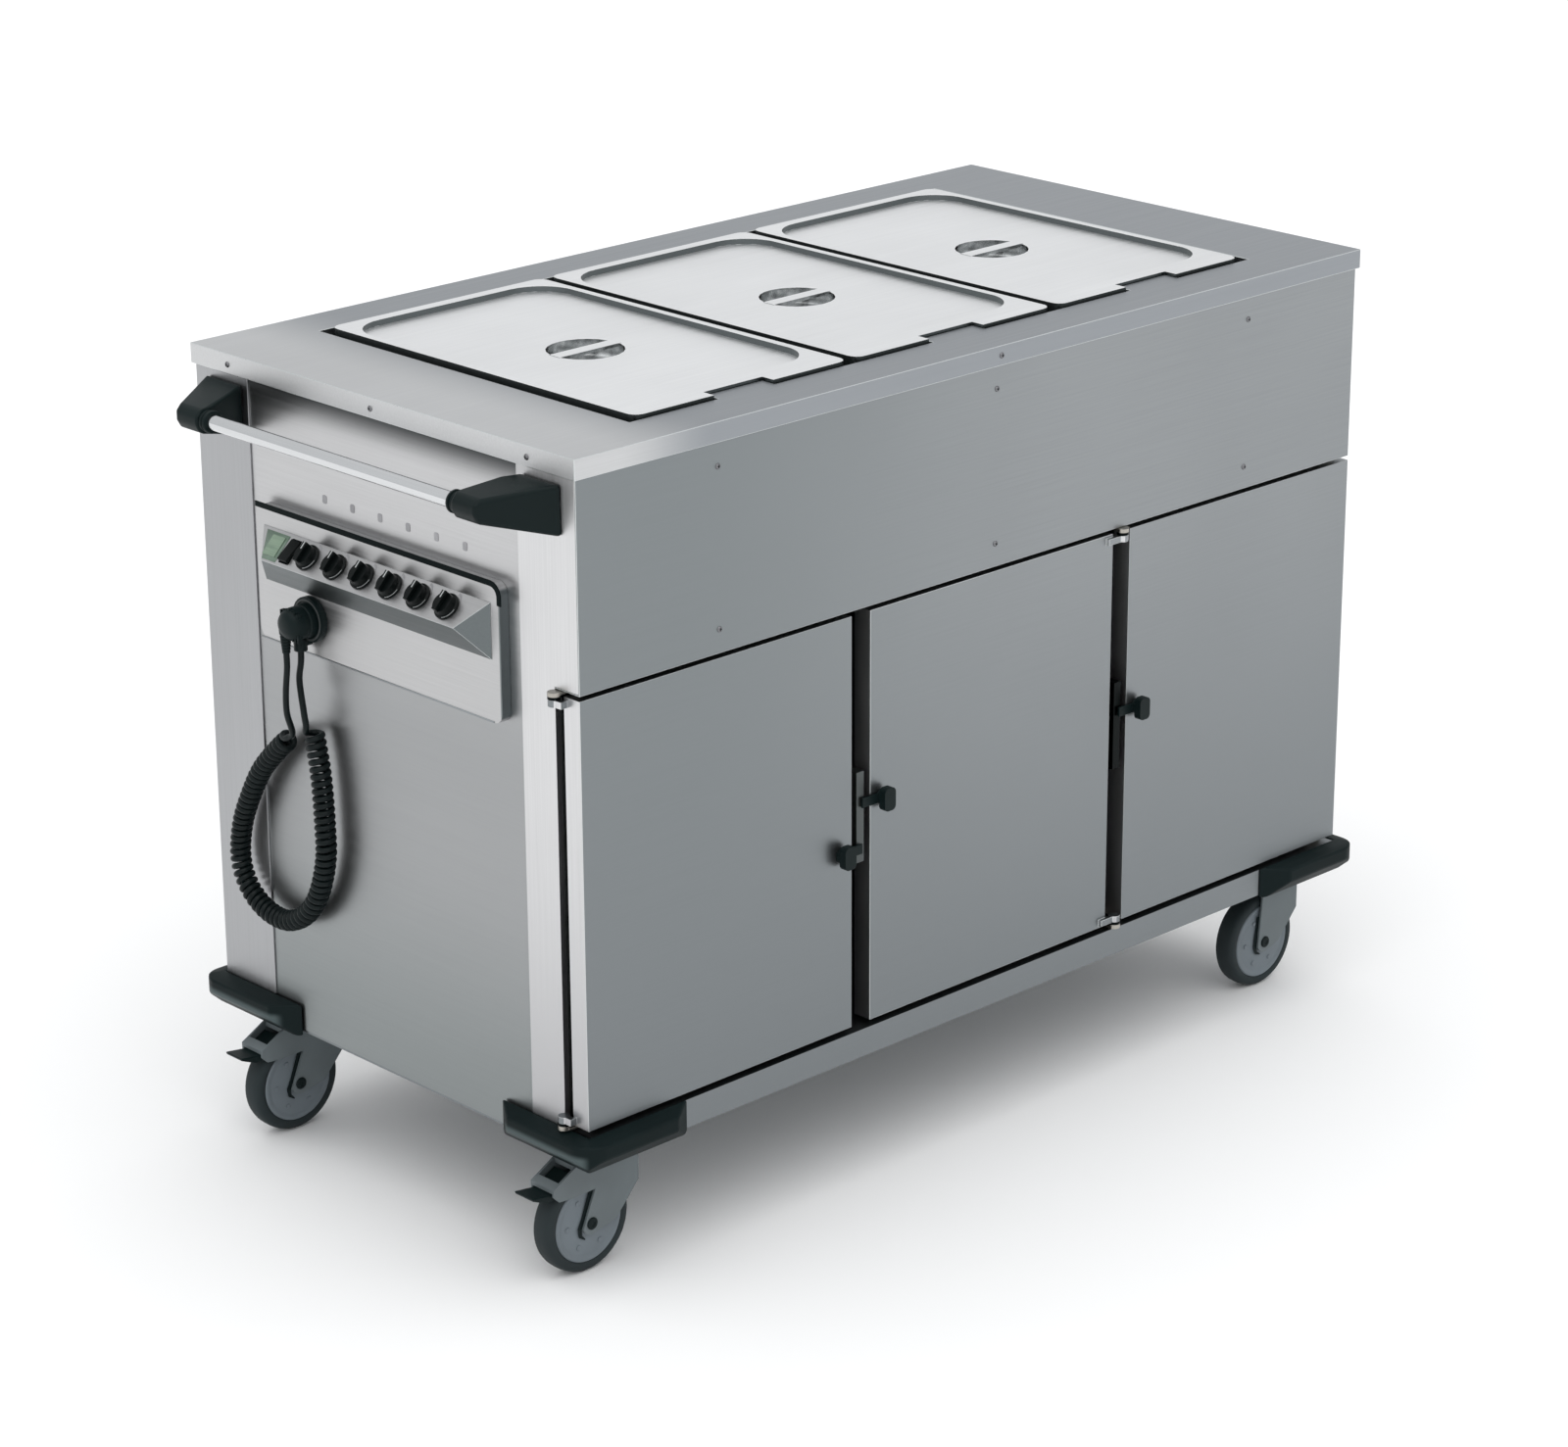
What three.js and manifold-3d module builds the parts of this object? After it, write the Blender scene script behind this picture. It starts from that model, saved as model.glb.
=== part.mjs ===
// Heated serving trolley with three covered wells, a three-door cupboard, a control end and castors.
// Millimetres, +Z up. X runs along the trolley with the control end at -X; the doors face -Y.
import * as THREE from "three";
import { ConvexGeometry } from "three/addons/geometries/ConvexGeometry.js";
import { mergeVertices } from "three/addons/utils/BufferGeometryUtils.js";
import Module from "manifold-3d";

const wasm = await Module();
wasm.setup();

// ---------- driving dimensions ----------
const GAP = 0.3; // clearance between pieces that touch
const SHEET = 1.5; // folded sheet metal

const TOP_LENGTH = 1300;
const TOP_WIDTH = 670;
const TOP_Z = 985;
const RIM_HEIGHT = 24;
const OVERHANG = 4;
const BODY_X = TOP_LENGTH / 2 - OVERHANG; // outer face of either end
const BODY_Y = TOP_WIDTH / 2 - OVERHANG; // outer face of either long side
const BODY_TOP = TOP_Z - RIM_HEIGHT;

const RAIL_TOP = 196;
const RAIL_BOTTOM = 161;
const APRON_BOTTOM = 718;
const POST_INNER_Y = 235;
const POST_DEPTH = 40;

const WELL_PITCH = 338;
const LID_LENGTH = 530; // along Y
const LID_WIDTH = 325; // along X
const LID_CENTRES = [-WELL_PITCH, 0, WELL_PITCH];
const LID_TOP = TOP_Z + 3.5;
const LEDGE_Z = TOP_Z - 8; // top of the flange that carries a lid
const OPENING_X = 512.5; // half length of the cut-out in the worktop
const OPENING_Y = 270;
const NOTCH_WIDTH = 90;
const NOTCH_DEPTH = 18;

const DOOR_THICKNESS = 26;
const DOOR_BOTTOM = 204.5;
const DOOR_TOP = 712.5;
const STRIP_WIDTH = 30; // gap between neighbouring doors
const DOOR_WIDTH = (2 * BODY_X - 2 * STRIP_WIDTH) / 3;
const FRAME_FRONT_Y = -290.6; // front face of the door frame, behind the doors
const STRIP_X = DOOR_WIDTH / 2 + STRIP_WIDTH / 2;

const WHEEL_RADIUS = 62.5;
const WHEEL_WIDTH = 30;
const CASTOR_Y = 267;
const CASTOR_X = 570; // kingpins of the swivel castors
const TRAIL = 36; // how far a swivel wheel stands behind its kingpin
const FIXED_X = 595;
const FIXED_TRAIL = 26;
const PLATE_Z = 156; // underside of the castor pads

const HANDLE_X = -713;
const HANDLE_Z = 927;
const HANDLE_RADIUS = 9;
const HANDLE_HALF = 223;

const BUMPER_REACH = 25;
const BUMPER_TOP = 198;
const BUMPER_BOTTOM = 157;
const HANDLE_REACH = -HANDLE_X + 15; // outermost point of the handle brackets

const COVER_X = -BODY_X - 11; // outer face of the control cover
const COVER_HALF = 215;
const COVER_TOP = 820;
const COVER_BOTTOM = 658;
const KNOB_PITCH = 49;
const KNOB_FIRST_Y = 101;

// The origin is under the middle of the overall length, between handle and bumper.
const ORIGIN_SHIFT = (HANDLE_REACH - (BODY_X + BUMPER_REACH)) / 2;

// ---------- materials ----------
const metal = (color, roughness) =>
  new THREE.MeshStandardMaterial({ color, roughness, metalness: 1 });
const plastic = (color, roughness) =>
  new THREE.MeshStandardMaterial({ color, roughness, metalness: 0 });
const STEEL = [0xb4b7b8, 0.35];
const STEEL_DARK = [0x8b8f92, 0.4];
const LID_STEEL = [0xdadcdc, 0.28];
const BLACK = [0x101616, 0.45];
const BUMPER_GREY = [0x161d1d, 0.55];
const CASTOR_GREY = [0x5f6a6c, 0.5];
const TYRE = [0x1b1f20, 0.8];
const GREEN = [0x9db59c, 0.25];

// ---------- building helpers ----------
const unit = new THREE.Group();
unit.position.x = ORIGIN_SHIFT;

function add(name, geometry, material, parent = unit) {
  const mesh = new THREE.Mesh(geometry, material);
  mesh.name = name;
  parent.add(mesh);
  return mesh;
}

// A box between two corners.
function block([x0, x1], [y0, y1], [z0, z1]) {
  const g = new THREE.BoxGeometry(Math.abs(x1 - x0), Math.abs(y1 - y0), Math.abs(z1 - z0));
  return g.translate((x0 + x1) / 2, (y0 + y1) / 2, (z0 + z1) / 2);
}

// A cylinder on a point, along one axis.
function rod(axis, [x, y, z], radius, length, sides = 24) {
  const g = new THREE.CylinderGeometry(radius, radius, length, sides);
  if (axis === "x") g.rotateZ(Math.PI / 2);
  if (axis === "z") g.rotateX(Math.PI / 2);
  return g.translate(x, y, z);
}

function solid(geometry) {
  const bare = geometry.index ? geometry.toNonIndexed() : geometry.clone();
  bare.deleteAttribute("normal");
  bare.deleteAttribute("uv");
  const merged = mergeVertices(bare, 1e-4);
  return new wasm.Manifold(
    new wasm.Mesh({
      numProp: 3,
      vertProperties: merged.attributes.position.array,
      triVerts: new Uint32Array(merged.index.array),
    }),
  );
}

function surface(manifold) {
  const m = manifold.getMesh();
  const g = new THREE.BufferGeometry();
  g.setAttribute("position", new THREE.BufferAttribute(new Float32Array(m.vertProperties), 3));
  g.setIndex(new THREE.BufferAttribute(new Uint32Array(m.triVerts), 1));
  const flat = g.toNonIndexed();
  flat.computeVertexNormals();
  return flat;
}

const join = (...gs) => surface(gs.map(solid).reduce((a, b) => a.add(b)));
const cut = (g, ...tools) => surface(tools.map(solid).reduce((a, b) => a.subtract(b), solid(g)));

// The outline of a rectangle with rounded corners, centred on the origin.
function roundedRect(width, height, radius) {
  const w = width / 2;
  const h = height / 2;
  const s = new THREE.Shape();
  s.moveTo(-w + radius, -h);
  s.lineTo(w - radius, -h);
  s.absarc(w - radius, -h + radius, radius, -Math.PI / 2, 0);
  s.absarc(w - radius, h - radius, radius, 0, Math.PI / 2);
  s.absarc(-w + radius, h - radius, radius, Math.PI / 2, Math.PI);
  s.absarc(-w + radius, -h + radius, radius, Math.PI, 1.5 * Math.PI);
  return s;
}

// A plan outline raised from z0 to z1.
function raised(shape, z0, z1, curveSegments = 6) {
  const g = new THREE.ExtrudeGeometry(shape, { depth: z1 - z0, bevelEnabled: false, curveSegments });
  return g.translate(0, 0, z0);
}

// ---------- worktop, wells, heater and lids ----------
function worktop() {
  const top = block([-650, 650], [-335, 335], [BODY_TOP, TOP_Z]);
  const under = block([-648, 648], [-333, 333], [BODY_TOP - 1, TOP_Z - SHEET]);
  const lipOuter = block(
    [-OPENING_X - SHEET, OPENING_X + SHEET],
    [-OPENING_Y - SHEET, OPENING_Y + SHEET],
    [LEDGE_Z + GAP, TOP_Z - 1],
  );
  const opening = block([-OPENING_X, OPENING_X], [-OPENING_Y, OPENING_Y], [BODY_TOP - 2, TOP_Z + 1]);
  const tabs = LID_CENTRES.map((x) =>
    block(
      [x - NOTCH_WIDTH / 2 + 2, x + NOTCH_WIDTH / 2 - 2],
      [-OPENING_Y - 1, -LID_LENGTH / 2 + NOTCH_DEPTH - 2],
      [TOP_Z - SHEET, TOP_Z],
    ),
  );
  const shell = solid(top).subtract(solid(under)).add(solid(lipOuter)).subtract(solid(opening));
  return surface(tabs.map(solid).reduce((a, b) => a.add(b), shell));
}
add("worktop", worktop(), metal(...STEEL));

const WELL_BOTTOM = 785;
const WELL_X = 309; // inner size of a basin
const WELL_Y = 512;
const WELL_CORNER = 30;

function well() {
  const flange = raised(roundedRect(WELL_PITCH - 2 * GAP, 2 * OPENING_Y + 20, 8), LEDGE_Z - SHEET, LEDGE_Z, 2);
  const outer = raised(
    roundedRect(WELL_X + 2 * SHEET, WELL_Y + 2 * SHEET, WELL_CORNER + SHEET),
    WELL_BOTTOM,
    LEDGE_Z - 1,
    4,
  );
  const inner = raised(roundedRect(WELL_X, WELL_Y, WELL_CORNER), WELL_BOTTOM + SHEET, LEDGE_Z + 1, 4);
  const drain = rod("z", [0, 0, WELL_BOTTOM], 12, 10, 12);
  return surface(solid(flange).add(solid(outer)).subtract(solid(inner)).subtract(solid(drain)));
}

const DISH_RADIUS = 46;
const DISH_BOTTOM = TOP_Z - 24;
const PANEL_Z = LID_TOP - 7; // top of the sunken panel
const LID_SHEET = 1.5;
const LID_CORNER = 14;
const LID_RIM = 10;
const PANEL_CORNER = 50;
const PANEL_FRONT = -225; // the panel stops short of the notch
const PANEL_BACK = 249;
const GRIP_Z = TOP_Z - 3;

// A pressed lid: raised rim, sunken panel, round dish with a grip bar across it, and a notch in front.
function lid() {
  const s = LID_SHEET;
  const panelWidth = LID_WIDTH - 2 * LID_RIM;
  const panelLength = PANEL_BACK - PANEL_FRONT;
  const panelY = (PANEL_BACK + PANEL_FRONT) / 2;
  const notchEnd = -LID_LENGTH / 2 + NOTCH_DEPTH;
  const plate = raised(roundedRect(LID_WIDTH, LID_LENGTH, LID_CORNER), LEDGE_Z + GAP, LID_TOP, 3);
  const inside = roundedRect(LID_WIDTH - 2 * s, LID_LENGTH - 2 * s, LID_CORNER - s);
  const under = raised(inside, LEDGE_Z - 1, LID_TOP - s, 3);
  const tubShape = roundedRect(panelWidth + 2 * s, panelLength + 2 * s, PANEL_CORNER + s);
  const tub = raised(tubShape, PANEL_Z - s, LID_TOP - 0.5, 6).translate(0, panelY, 0);
  const panel = raised(roundedRect(panelWidth, panelLength, PANEL_CORNER), PANEL_Z, LID_TOP + 1, 6);
  panel.translate(0, panelY, 0);
  const notchWall = block(
    [-NOTCH_WIDTH / 2 - s, NOTCH_WIDTH / 2 + s],
    [-LID_LENGTH / 2 + 1, notchEnd + s],
    [LEDGE_Z + GAP, LID_TOP - 0.5],
  );
  const notch = block(
    [-NOTCH_WIDTH / 2, NOTCH_WIDTH / 2],
    [-LID_LENGTH / 2 - 1, notchEnd],
    [LEDGE_Z - 1, LID_TOP + 1],
  );
  const dishDepth = PANEL_Z - DISH_BOTTOM;
  const dishOuter = rod("z", [0, 0, DISH_BOTTOM + dishDepth / 2], DISH_RADIUS + s, dishDepth);
  const dishInner = rod("z", [0, 0, DISH_BOTTOM + s + 20], DISH_RADIUS, 40);
  const grip = block([-DISH_RADIUS - 1, DISH_RADIUS + 1], [-9, 9], [GRIP_Z - 4, GRIP_Z]);
  return surface(
    solid(plate)
      .subtract(solid(under))
      .add(solid(tub))
      .add(solid(notchWall))
      .subtract(solid(panel))
      .subtract(solid(notch))
      .add(solid(dishOuter))
      .subtract(solid(dishInner))
      .add(solid(grip)),
  );
}

LID_CENTRES.forEach((x, i) => {
  add(`well_${i + 1}`, well(), metal(...STEEL)).position.x = x;
  add(`lid_${i + 1}`, lid(), metal(...LID_STEEL)).position.x = x;
});

// One flat heating mat lies under the three basins.
add("heating_mat", block([-490, 490], [-240, 240], [WELL_BOTTOM - 2, WELL_BOTTOM - GAP]), metal(...STEEL_DARK));

// ---------- carcass ----------
// A corner post at the control end: a channel, open towards the inside.
function post(front) {
  const faceX = [-BODY_X, -BODY_X + POST_DEPTH];
  const hollowX = [-BODY_X + SHEET, -BODY_X + POST_DEPTH + 1];
  if (!front) {
    const outer = block(faceX, [POST_INNER_Y, BODY_Y], [RAIL_TOP + GAP, BODY_TOP - GAP]);
    const hollow = block(hollowX, [POST_INNER_Y + SHEET, BODY_Y - SHEET], [RAIL_TOP - 1, BODY_TOP]);
    return cut(outer, hollow);
  }
  const upperFront = -BODY_Y + SHEET + GAP;
  const lower = block(faceX, [FRAME_FRONT_Y, -POST_INNER_Y], [RAIL_TOP + GAP, BODY_TOP - GAP]);
  const upper = block(faceX, [upperFront, -POST_INNER_Y], [APRON_BOTTOM + SHEET + GAP, BODY_TOP - GAP]);
  const hollowLow = block(
    hollowX,
    [FRAME_FRONT_Y + SHEET, -POST_INNER_Y - SHEET],
    [RAIL_TOP - 1, BODY_TOP],
  );
  const hollowHigh = block(
    hollowX,
    [upperFront + SHEET, -POST_INNER_Y - SHEET],
    [APRON_BOTTOM + 2 * SHEET + GAP, BODY_TOP],
  );
  return surface(
    solid(lower).add(solid(upper)).subtract(solid(hollowLow)).subtract(solid(hollowHigh)),
  );
}
add("post_front", post(true), metal(...STEEL));
add("post_back", post(false), metal(...STEEL));

// The control panel stands a little behind the post faces and hangs over the base rail.
const PANEL_FACE_X = -BODY_X + 2;
const PANEL_HALF = POST_INNER_Y - GAP;
const END_PANEL_BOTTOM = 165;
add(
  "control_end_panel",
  block([PANEL_FACE_X, PANEL_FACE_X + SHEET], [-PANEL_HALF, PANEL_HALF], [END_PANEL_BOTTOM, BODY_TOP - GAP]),
  metal(...STEEL),
);

function farEndPanel() {
  const plateX = [BODY_X - SHEET, BODY_X];
  const z = [RAIL_TOP + GAP, BODY_TOP - GAP];
  const shape = new THREE.Shape();
  shape.moveTo(FRAME_FRONT_Y, z[0]);
  shape.lineTo(BODY_Y, z[0]);
  shape.lineTo(BODY_Y, z[1]);
  shape.lineTo(-BODY_Y + SHEET + GAP, z[1]);
  shape.lineTo(-BODY_Y + SHEET + GAP, APRON_BOTTOM + SHEET + GAP);
  shape.lineTo(FRAME_FRONT_Y, APRON_BOTTOM + SHEET + GAP);
  const plate = new THREE.ExtrudeGeometry(shape, { depth: SHEET, bevelEnabled: false });
  plate.rotateX(Math.PI / 2).rotateZ(Math.PI / 2).translate(plateX[0], 0, 0);
  const inward = [BODY_X - POST_DEPTH, BODY_X - 1];
  const returnFront = block(inward, [FRAME_FRONT_Y, FRAME_FRONT_Y + SHEET], [z[0], APRON_BOTTOM - 4]);
  const returnBack = block(inward, [BODY_Y - SHEET, BODY_Y], z);
  return join(plate, returnFront, returnBack);
}
add("far_end_panel", farEndPanel(), metal(...STEEL));

const BACK_X = [-BODY_X + POST_DEPTH + GAP, BODY_X - POST_DEPTH - GAP];
add("back_panel", block(BACK_X, [BODY_Y - SHEET, BODY_Y], [RAIL_TOP + GAP, BODY_TOP - GAP]), metal(...STEEL));

// The apron covers the wells; its lower edge turns in above the doors.
add(
  "front_apron",
  join(
    block([-BODY_X, BODY_X], [-BODY_Y, -BODY_Y + SHEET], [APRON_BOTTOM, BODY_TOP - GAP]),
    block([-BODY_X, BODY_X], [-BODY_Y, FRAME_FRONT_Y], [APRON_BOTTOM, APRON_BOTTOM + SHEET]),
  ),
  metal(...STEEL),
);

const INNER_FRONT = FRAME_FRONT_Y + SHEET + GAP;
const INNER_BACK = BODY_Y - SHEET - GAP;
const CEILING_Z = 716;
add(
  "cupboard_ceiling",
  block(
    [-BODY_X + POST_DEPTH + GAP, BODY_X - SHEET - GAP],
    [INNER_FRONT, INNER_BACK - GAP],
    [CEILING_Z, CEILING_Z + SHEET],
  ),
  metal(...STEEL_DARK),
);

// A hollow partition behind each strip between the doors, open underneath.
function partition(x) {
  const half = 13;
  const y = [INNER_FRONT - SHEET, INNER_BACK - 2 * GAP];
  const outer = block([x - half, x + half], y, [RAIL_TOP + GAP, CEILING_Z - GAP]);
  const hollow = block(
    [x - half + SHEET, x + half - SHEET],
    [y[0] + SHEET, y[1] - SHEET],
    [RAIL_TOP - 1, CEILING_Z - GAP - SHEET],
  );
  return cut(outer, hollow);
}
[-STRIP_X, STRIP_X].forEach((x, i) => add(`partition_${i + 1}`, partition(x), metal(...STEEL_DARK)));

// The base: a floor plate with a rail folded down all round and two tubular cross beams.
function baseFrame() {
  const endX = PANEL_FACE_X + SHEET + GAP;
  const outer = block([endX, BODY_X], [-BODY_Y, BODY_Y], [RAIL_BOTTOM, RAIL_TOP]);
  const hollow = block(
    [endX + SHEET, BODY_X - SHEET],
    [-BODY_Y + SHEET, BODY_Y - SHEET],
    [RAIL_BOTTOM - 1, RAIL_TOP - SHEET],
  );
  const beams = [-CASTOR_X, FIXED_X - 10].map((x) => {
    const tube = block([x - 55, x + 55], [-325, 325], [PLATE_Z, RAIL_TOP - 1]);
    const bore = block([x - 52, x + 52], [-326, 326], [PLATE_Z + 4, RAIL_TOP - SHEET]);
    return solid(tube).subtract(solid(bore));
  });
  return surface(beams.reduce((a, b) => a.add(b), solid(outer).subtract(solid(hollow))));
}
add("base_frame", baseFrame(), metal(...STEEL));

// ---------- doors, hinges and latches ----------
const DOOR_FRONT = -BODY_Y;
const DOOR_BACK = DOOR_FRONT + DOOR_THICKNESS;
const HINGE_TOP = APRON_BOTTOM - 0.6;
const HINGE_BOTTOM = BUMPER_TOP + 1;
const KNUCKLE_RADIUS = 7.5;
const KNUCKLE_HEIGHT = 8;
const END_PIVOT = [BODY_X + 6, -296];
const MIDDLE_PIVOT = [STRIP_X, -333];
const DOORS = [
  { x0: -BODY_X, pivot: [-END_PIVOT[0], END_PIVOT[1]], latchSide: 1, latchZ: 426 },
  { x0: -DOOR_WIDTH / 2, pivot: MIDDLE_PIVOT, latchSide: -1, latchZ: 482 },
  { x0: DOOR_WIDTH / 2 + STRIP_WIDTH, pivot: END_PIVOT, latchSide: -1, latchZ: 482 },
];

// A lug that reaches from a door edge to an eye on its pivot: round the back edge of an end door, and
// across the front of the middle one.
function doorLug([px, py], edgeX, z0, z1) {
  const inside = edgeX + (edgeX > px ? 12 : -12);
  const behind = py > DOOR_BACK;
  const eye = solid(rod("z", [px, py, (z0 + z1) / 2], KNUCKLE_RADIUS - 0.5, z1 - z0, 16));
  if (!behind) return eye.add(solid(block([px, inside], [py - 3, DOOR_FRONT + 1], [z0, z1])));
  const outer = px + (edgeX > px ? -3.5 : 3.5);
  const neck = block([px - 3.5, px + 3.5], [DOOR_BACK - 6, py], [z0, z1]);
  const reach = block([outer, inside], [DOOR_BACK - 6, DOOR_BACK - 2], [z0, z1]);
  return eye.add(solid(neck)).add(solid(reach));
}

function door({ x0, pivot }) {
  const x1 = x0 + DOOR_WIDTH;
  const skin = 1.5;
  const outer = solid(block([x0, x1], [DOOR_FRONT, DOOR_BACK], [DOOR_BOTTOM, DOOR_TOP]));
  const hollow = block(
    [x0 + skin, x1 - skin],
    [DOOR_FRONT + skin, DOOR_BACK - skin],
    [DOOR_BOTTOM + skin, DOOR_TOP - skin],
  );
  const vent = block([x0 + 200, x0 + 208], [DOOR_BACK - 14, DOOR_BACK - 6], [DOOR_BOTTOM - 1, DOOR_BOTTOM + 3]);
  const edgeX = Math.abs(pivot[0] - x0) < Math.abs(pivot[0] - x1) ? x0 : x1;
  const topZ = HINGE_TOP - KNUCKLE_HEIGHT - 0.5;
  const lowZ = HINGE_BOTTOM + KNUCKLE_HEIGHT + 0.5;
  return surface(
    outer
      .subtract(solid(hollow))
      .subtract(solid(vent))
      .add(doorLug(pivot, edgeX, topZ - 8, topZ))
      .add(doorLug(pivot, edgeX, lowZ, lowZ + 8)),
  );
}

// A strap on the frame that carries the fixed knuckles above and below a door.
function hingeStrap([px, py], strapX) {
  const strap = block([strapX - 8, strapX + 8], [FRAME_FRONT_Y - 3.3, FRAME_FRONT_Y - GAP], [HINGE_BOTTOM, HINGE_TOP]);
  const parts = [
    [HINGE_BOTTOM, HINGE_BOTTOM + KNUCKLE_HEIGHT, HINGE_BOTTOM],
    [HINGE_TOP - KNUCKLE_HEIGHT, HINGE_TOP, HINGE_TOP - 3],
  ].flatMap(([z0, z1, plateZ]) => [
    rod("z", [px, py, (z0 + z1) / 2], KNUCKLE_RADIUS, z1 - z0, 16),
    block(
      [Math.min(px, strapX - 8), Math.max(px, strapX + 8)],
      [Math.min(py - 3, FRAME_FRONT_Y - 14), FRAME_FRONT_Y - GAP],
      [plateZ, plateZ + 3],
    ),
  ]);
  return join(strap, ...parts);
}

// The block that a latch tongue closes in front of.
function keeper(x) {
  return block([x - 6, x + 6], [DOOR_FRONT + 1, FRAME_FRONT_Y - 2], [408, 520]);
}

const TONGUE = 32;
const LATCH_INSET = 17;

// A turn latch: hub, tongue that crosses the strip, and a paddle to turn it by.
function latch(side) {
  const tongue = block([-8 * side, TONGUE * side], [-3.2, -GAP], [-6, 6]);
  const hub = rod("y", [0, -4, 0], 9, 7, 20);
  const paddle = raised(roundedRect(18, 28, 6), 0, 10, 3).rotateX(Math.PI / 2);
  paddle.translate(0, -6.5, 0);
  return join(tongue, hub, paddle);
}

DOORS.forEach((d, i) => {
  add(`door_${i + 1}`, door(d), metal(...STEEL));
  const edge = d.latchSide > 0 ? d.x0 + DOOR_WIDTH : d.x0;
  const x = edge - d.latchSide * LATCH_INSET;
  add(`latch_${i + 1}`, latch(d.latchSide), plastic(...BLACK)).position.set(x, DOOR_FRONT, d.latchZ);
});
add("hinge_strap_1", hingeStrap(DOORS[0].pivot, -BODY_X + 16), metal(...STEEL_DARK));
add(
  "hinge_strap_2",
  surface(solid(hingeStrap(MIDDLE_PIVOT, STRIP_X)).add(solid(keeper(STRIP_X)))),
  metal(...STEEL_DARK),
);
add("hinge_strap_3", hingeStrap(END_PIVOT, BODY_X - 16), metal(...STEEL_DARK));
add(
  "latch_keeper",
  join(
    keeper(-STRIP_X),
    block([-STRIP_X - 8, -STRIP_X + 8], [FRAME_FRONT_Y - 3.3, FRAME_FRONT_Y - GAP], [400, 528]),
  ),
  metal(...STEEL_DARK),
);

// ---------- push handle ----------
add(
  "handle_bar",
  rod("y", [HANDLE_X, 0, HANDLE_Z], HANDLE_RADIUS, 2 * (HANDLE_HALF - GAP), 28),
  metal(...LID_STEEL),
);

// A tapered bracket from the post face out to the end of the bar.
function handleBracket(side) {
  const root = [245, 309].flatMap((y) => [893, 951].map((z) => [-BODY_X - GAP, y, z]));
  const shoulder = [HANDLE_HALF + 12, 290].flatMap((y) => [898, 950].map((z) => [-BODY_X - 20, y, z]));
  const tip = [HANDLE_HALF, 262].flatMap((y) => [
    [HANDLE_X + 8, y, HANDLE_Z - 17],
    [HANDLE_X - 9, y, HANDLE_Z - 14],
    [-HANDLE_REACH, y, HANDLE_Z - 4],
    [-HANDLE_REACH, y, HANDLE_Z + 6],
    [HANDLE_X - 8, y, HANDLE_Z + 14],
    [HANDLE_X + 8, y, HANDLE_Z + 16],
  ]);
  const points = [...root, ...shoulder, ...tip].map(([x, y, z]) => new THREE.Vector3(x, y * side, z));
  return new ConvexGeometry(points);
}
add("handle_bracket_front", handleBracket(-1), plastic(...BLACK));
add("handle_bracket_back", handleBracket(1), plastic(...BLACK));

// ---------- control console ----------
function controlCover() {
  const height = COVER_TOP - COVER_BOTTOM;
  const depth = -COVER_X - BODY_X + 1.7;
  const turn = (g) => g.rotateX(Math.PI / 2).rotateZ(-Math.PI / 2);
  const outer = turn(raised(roundedRect(2 * COVER_HALF, height, 14), 0, depth, 4));
  const inner = turn(raised(roundedRect(2 * COVER_HALF - 4, height - 4, 12), -1, depth - SHEET, 4));
  return cut(outer, inner).translate(COVER_X + depth, 0, (COVER_TOP + COVER_BOTTOM) / 2);
}
add("control_cover", controlCover(), metal(...STEEL));

// The fascia is a ridge with hipped ends; knobs sit on its upper slope.
const FASCIA_TOP = 797;
const FASCIA_BOTTOM = 731;
const FASCIA_HALF = 200;
const RIDGE_OUT = 29;
const RIDGE_Z = 767;
const RIDGE_HALF = 170;
const FASCIA_BACK = COVER_X - GAP;
const SLOPE = Math.atan2(FASCIA_TOP - RIDGE_Z, RIDGE_OUT); // of the upper face, below horizontal
const ROCKER_Y = 134;
const WINDOW_Y = 162;

// A frame on the middle of the upper slope: local Z points out of the face, local X up the slope.
function slopeFrame(y) {
  const frame = new THREE.Group();
  frame.position.set(FASCIA_BACK - RIDGE_OUT / 2, y, (FASCIA_TOP + RIDGE_Z) / 2);
  frame.rotation.y = -SLOPE;
  unit.add(frame);
  return frame;
}

function fascia() {
  const points = [-1, 1].flatMap((s) => [
    [FASCIA_BACK, s * FASCIA_HALF, FASCIA_TOP],
    [FASCIA_BACK, s * FASCIA_HALF, FASCIA_BOTTOM],
    [FASCIA_BACK - RIDGE_OUT, s * RIDGE_HALF, RIDGE_Z],
  ]);
  const ridge = new ConvexGeometry(points.map((p) => new THREE.Vector3(...p)));
  const pocket = block([-16, 16], [-9, 9], [-9, 4]).rotateY(-SLOPE);
  pocket.translate(FASCIA_BACK - RIDGE_OUT / 2, ROCKER_Y, (FASCIA_TOP + RIDGE_Z) / 2);
  return cut(ridge, pocket);
}
add("fascia", fascia(), metal(...STEEL));

const ROCKER_TILT = 7;
add(
  "main_rocker",
  block([-14.5, 14.5], [-8, 8], [-3.5, 3.5]).rotateY((ROCKER_TILT * Math.PI) / 180),
  plastic(...BLACK),
  slopeFrame(ROCKER_Y),
);
add("pilot_window", block([-13, 13], [-11, 11], [GAP, 2.5]), plastic(...GREEN), slopeFrame(WINDOW_Y));

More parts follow.
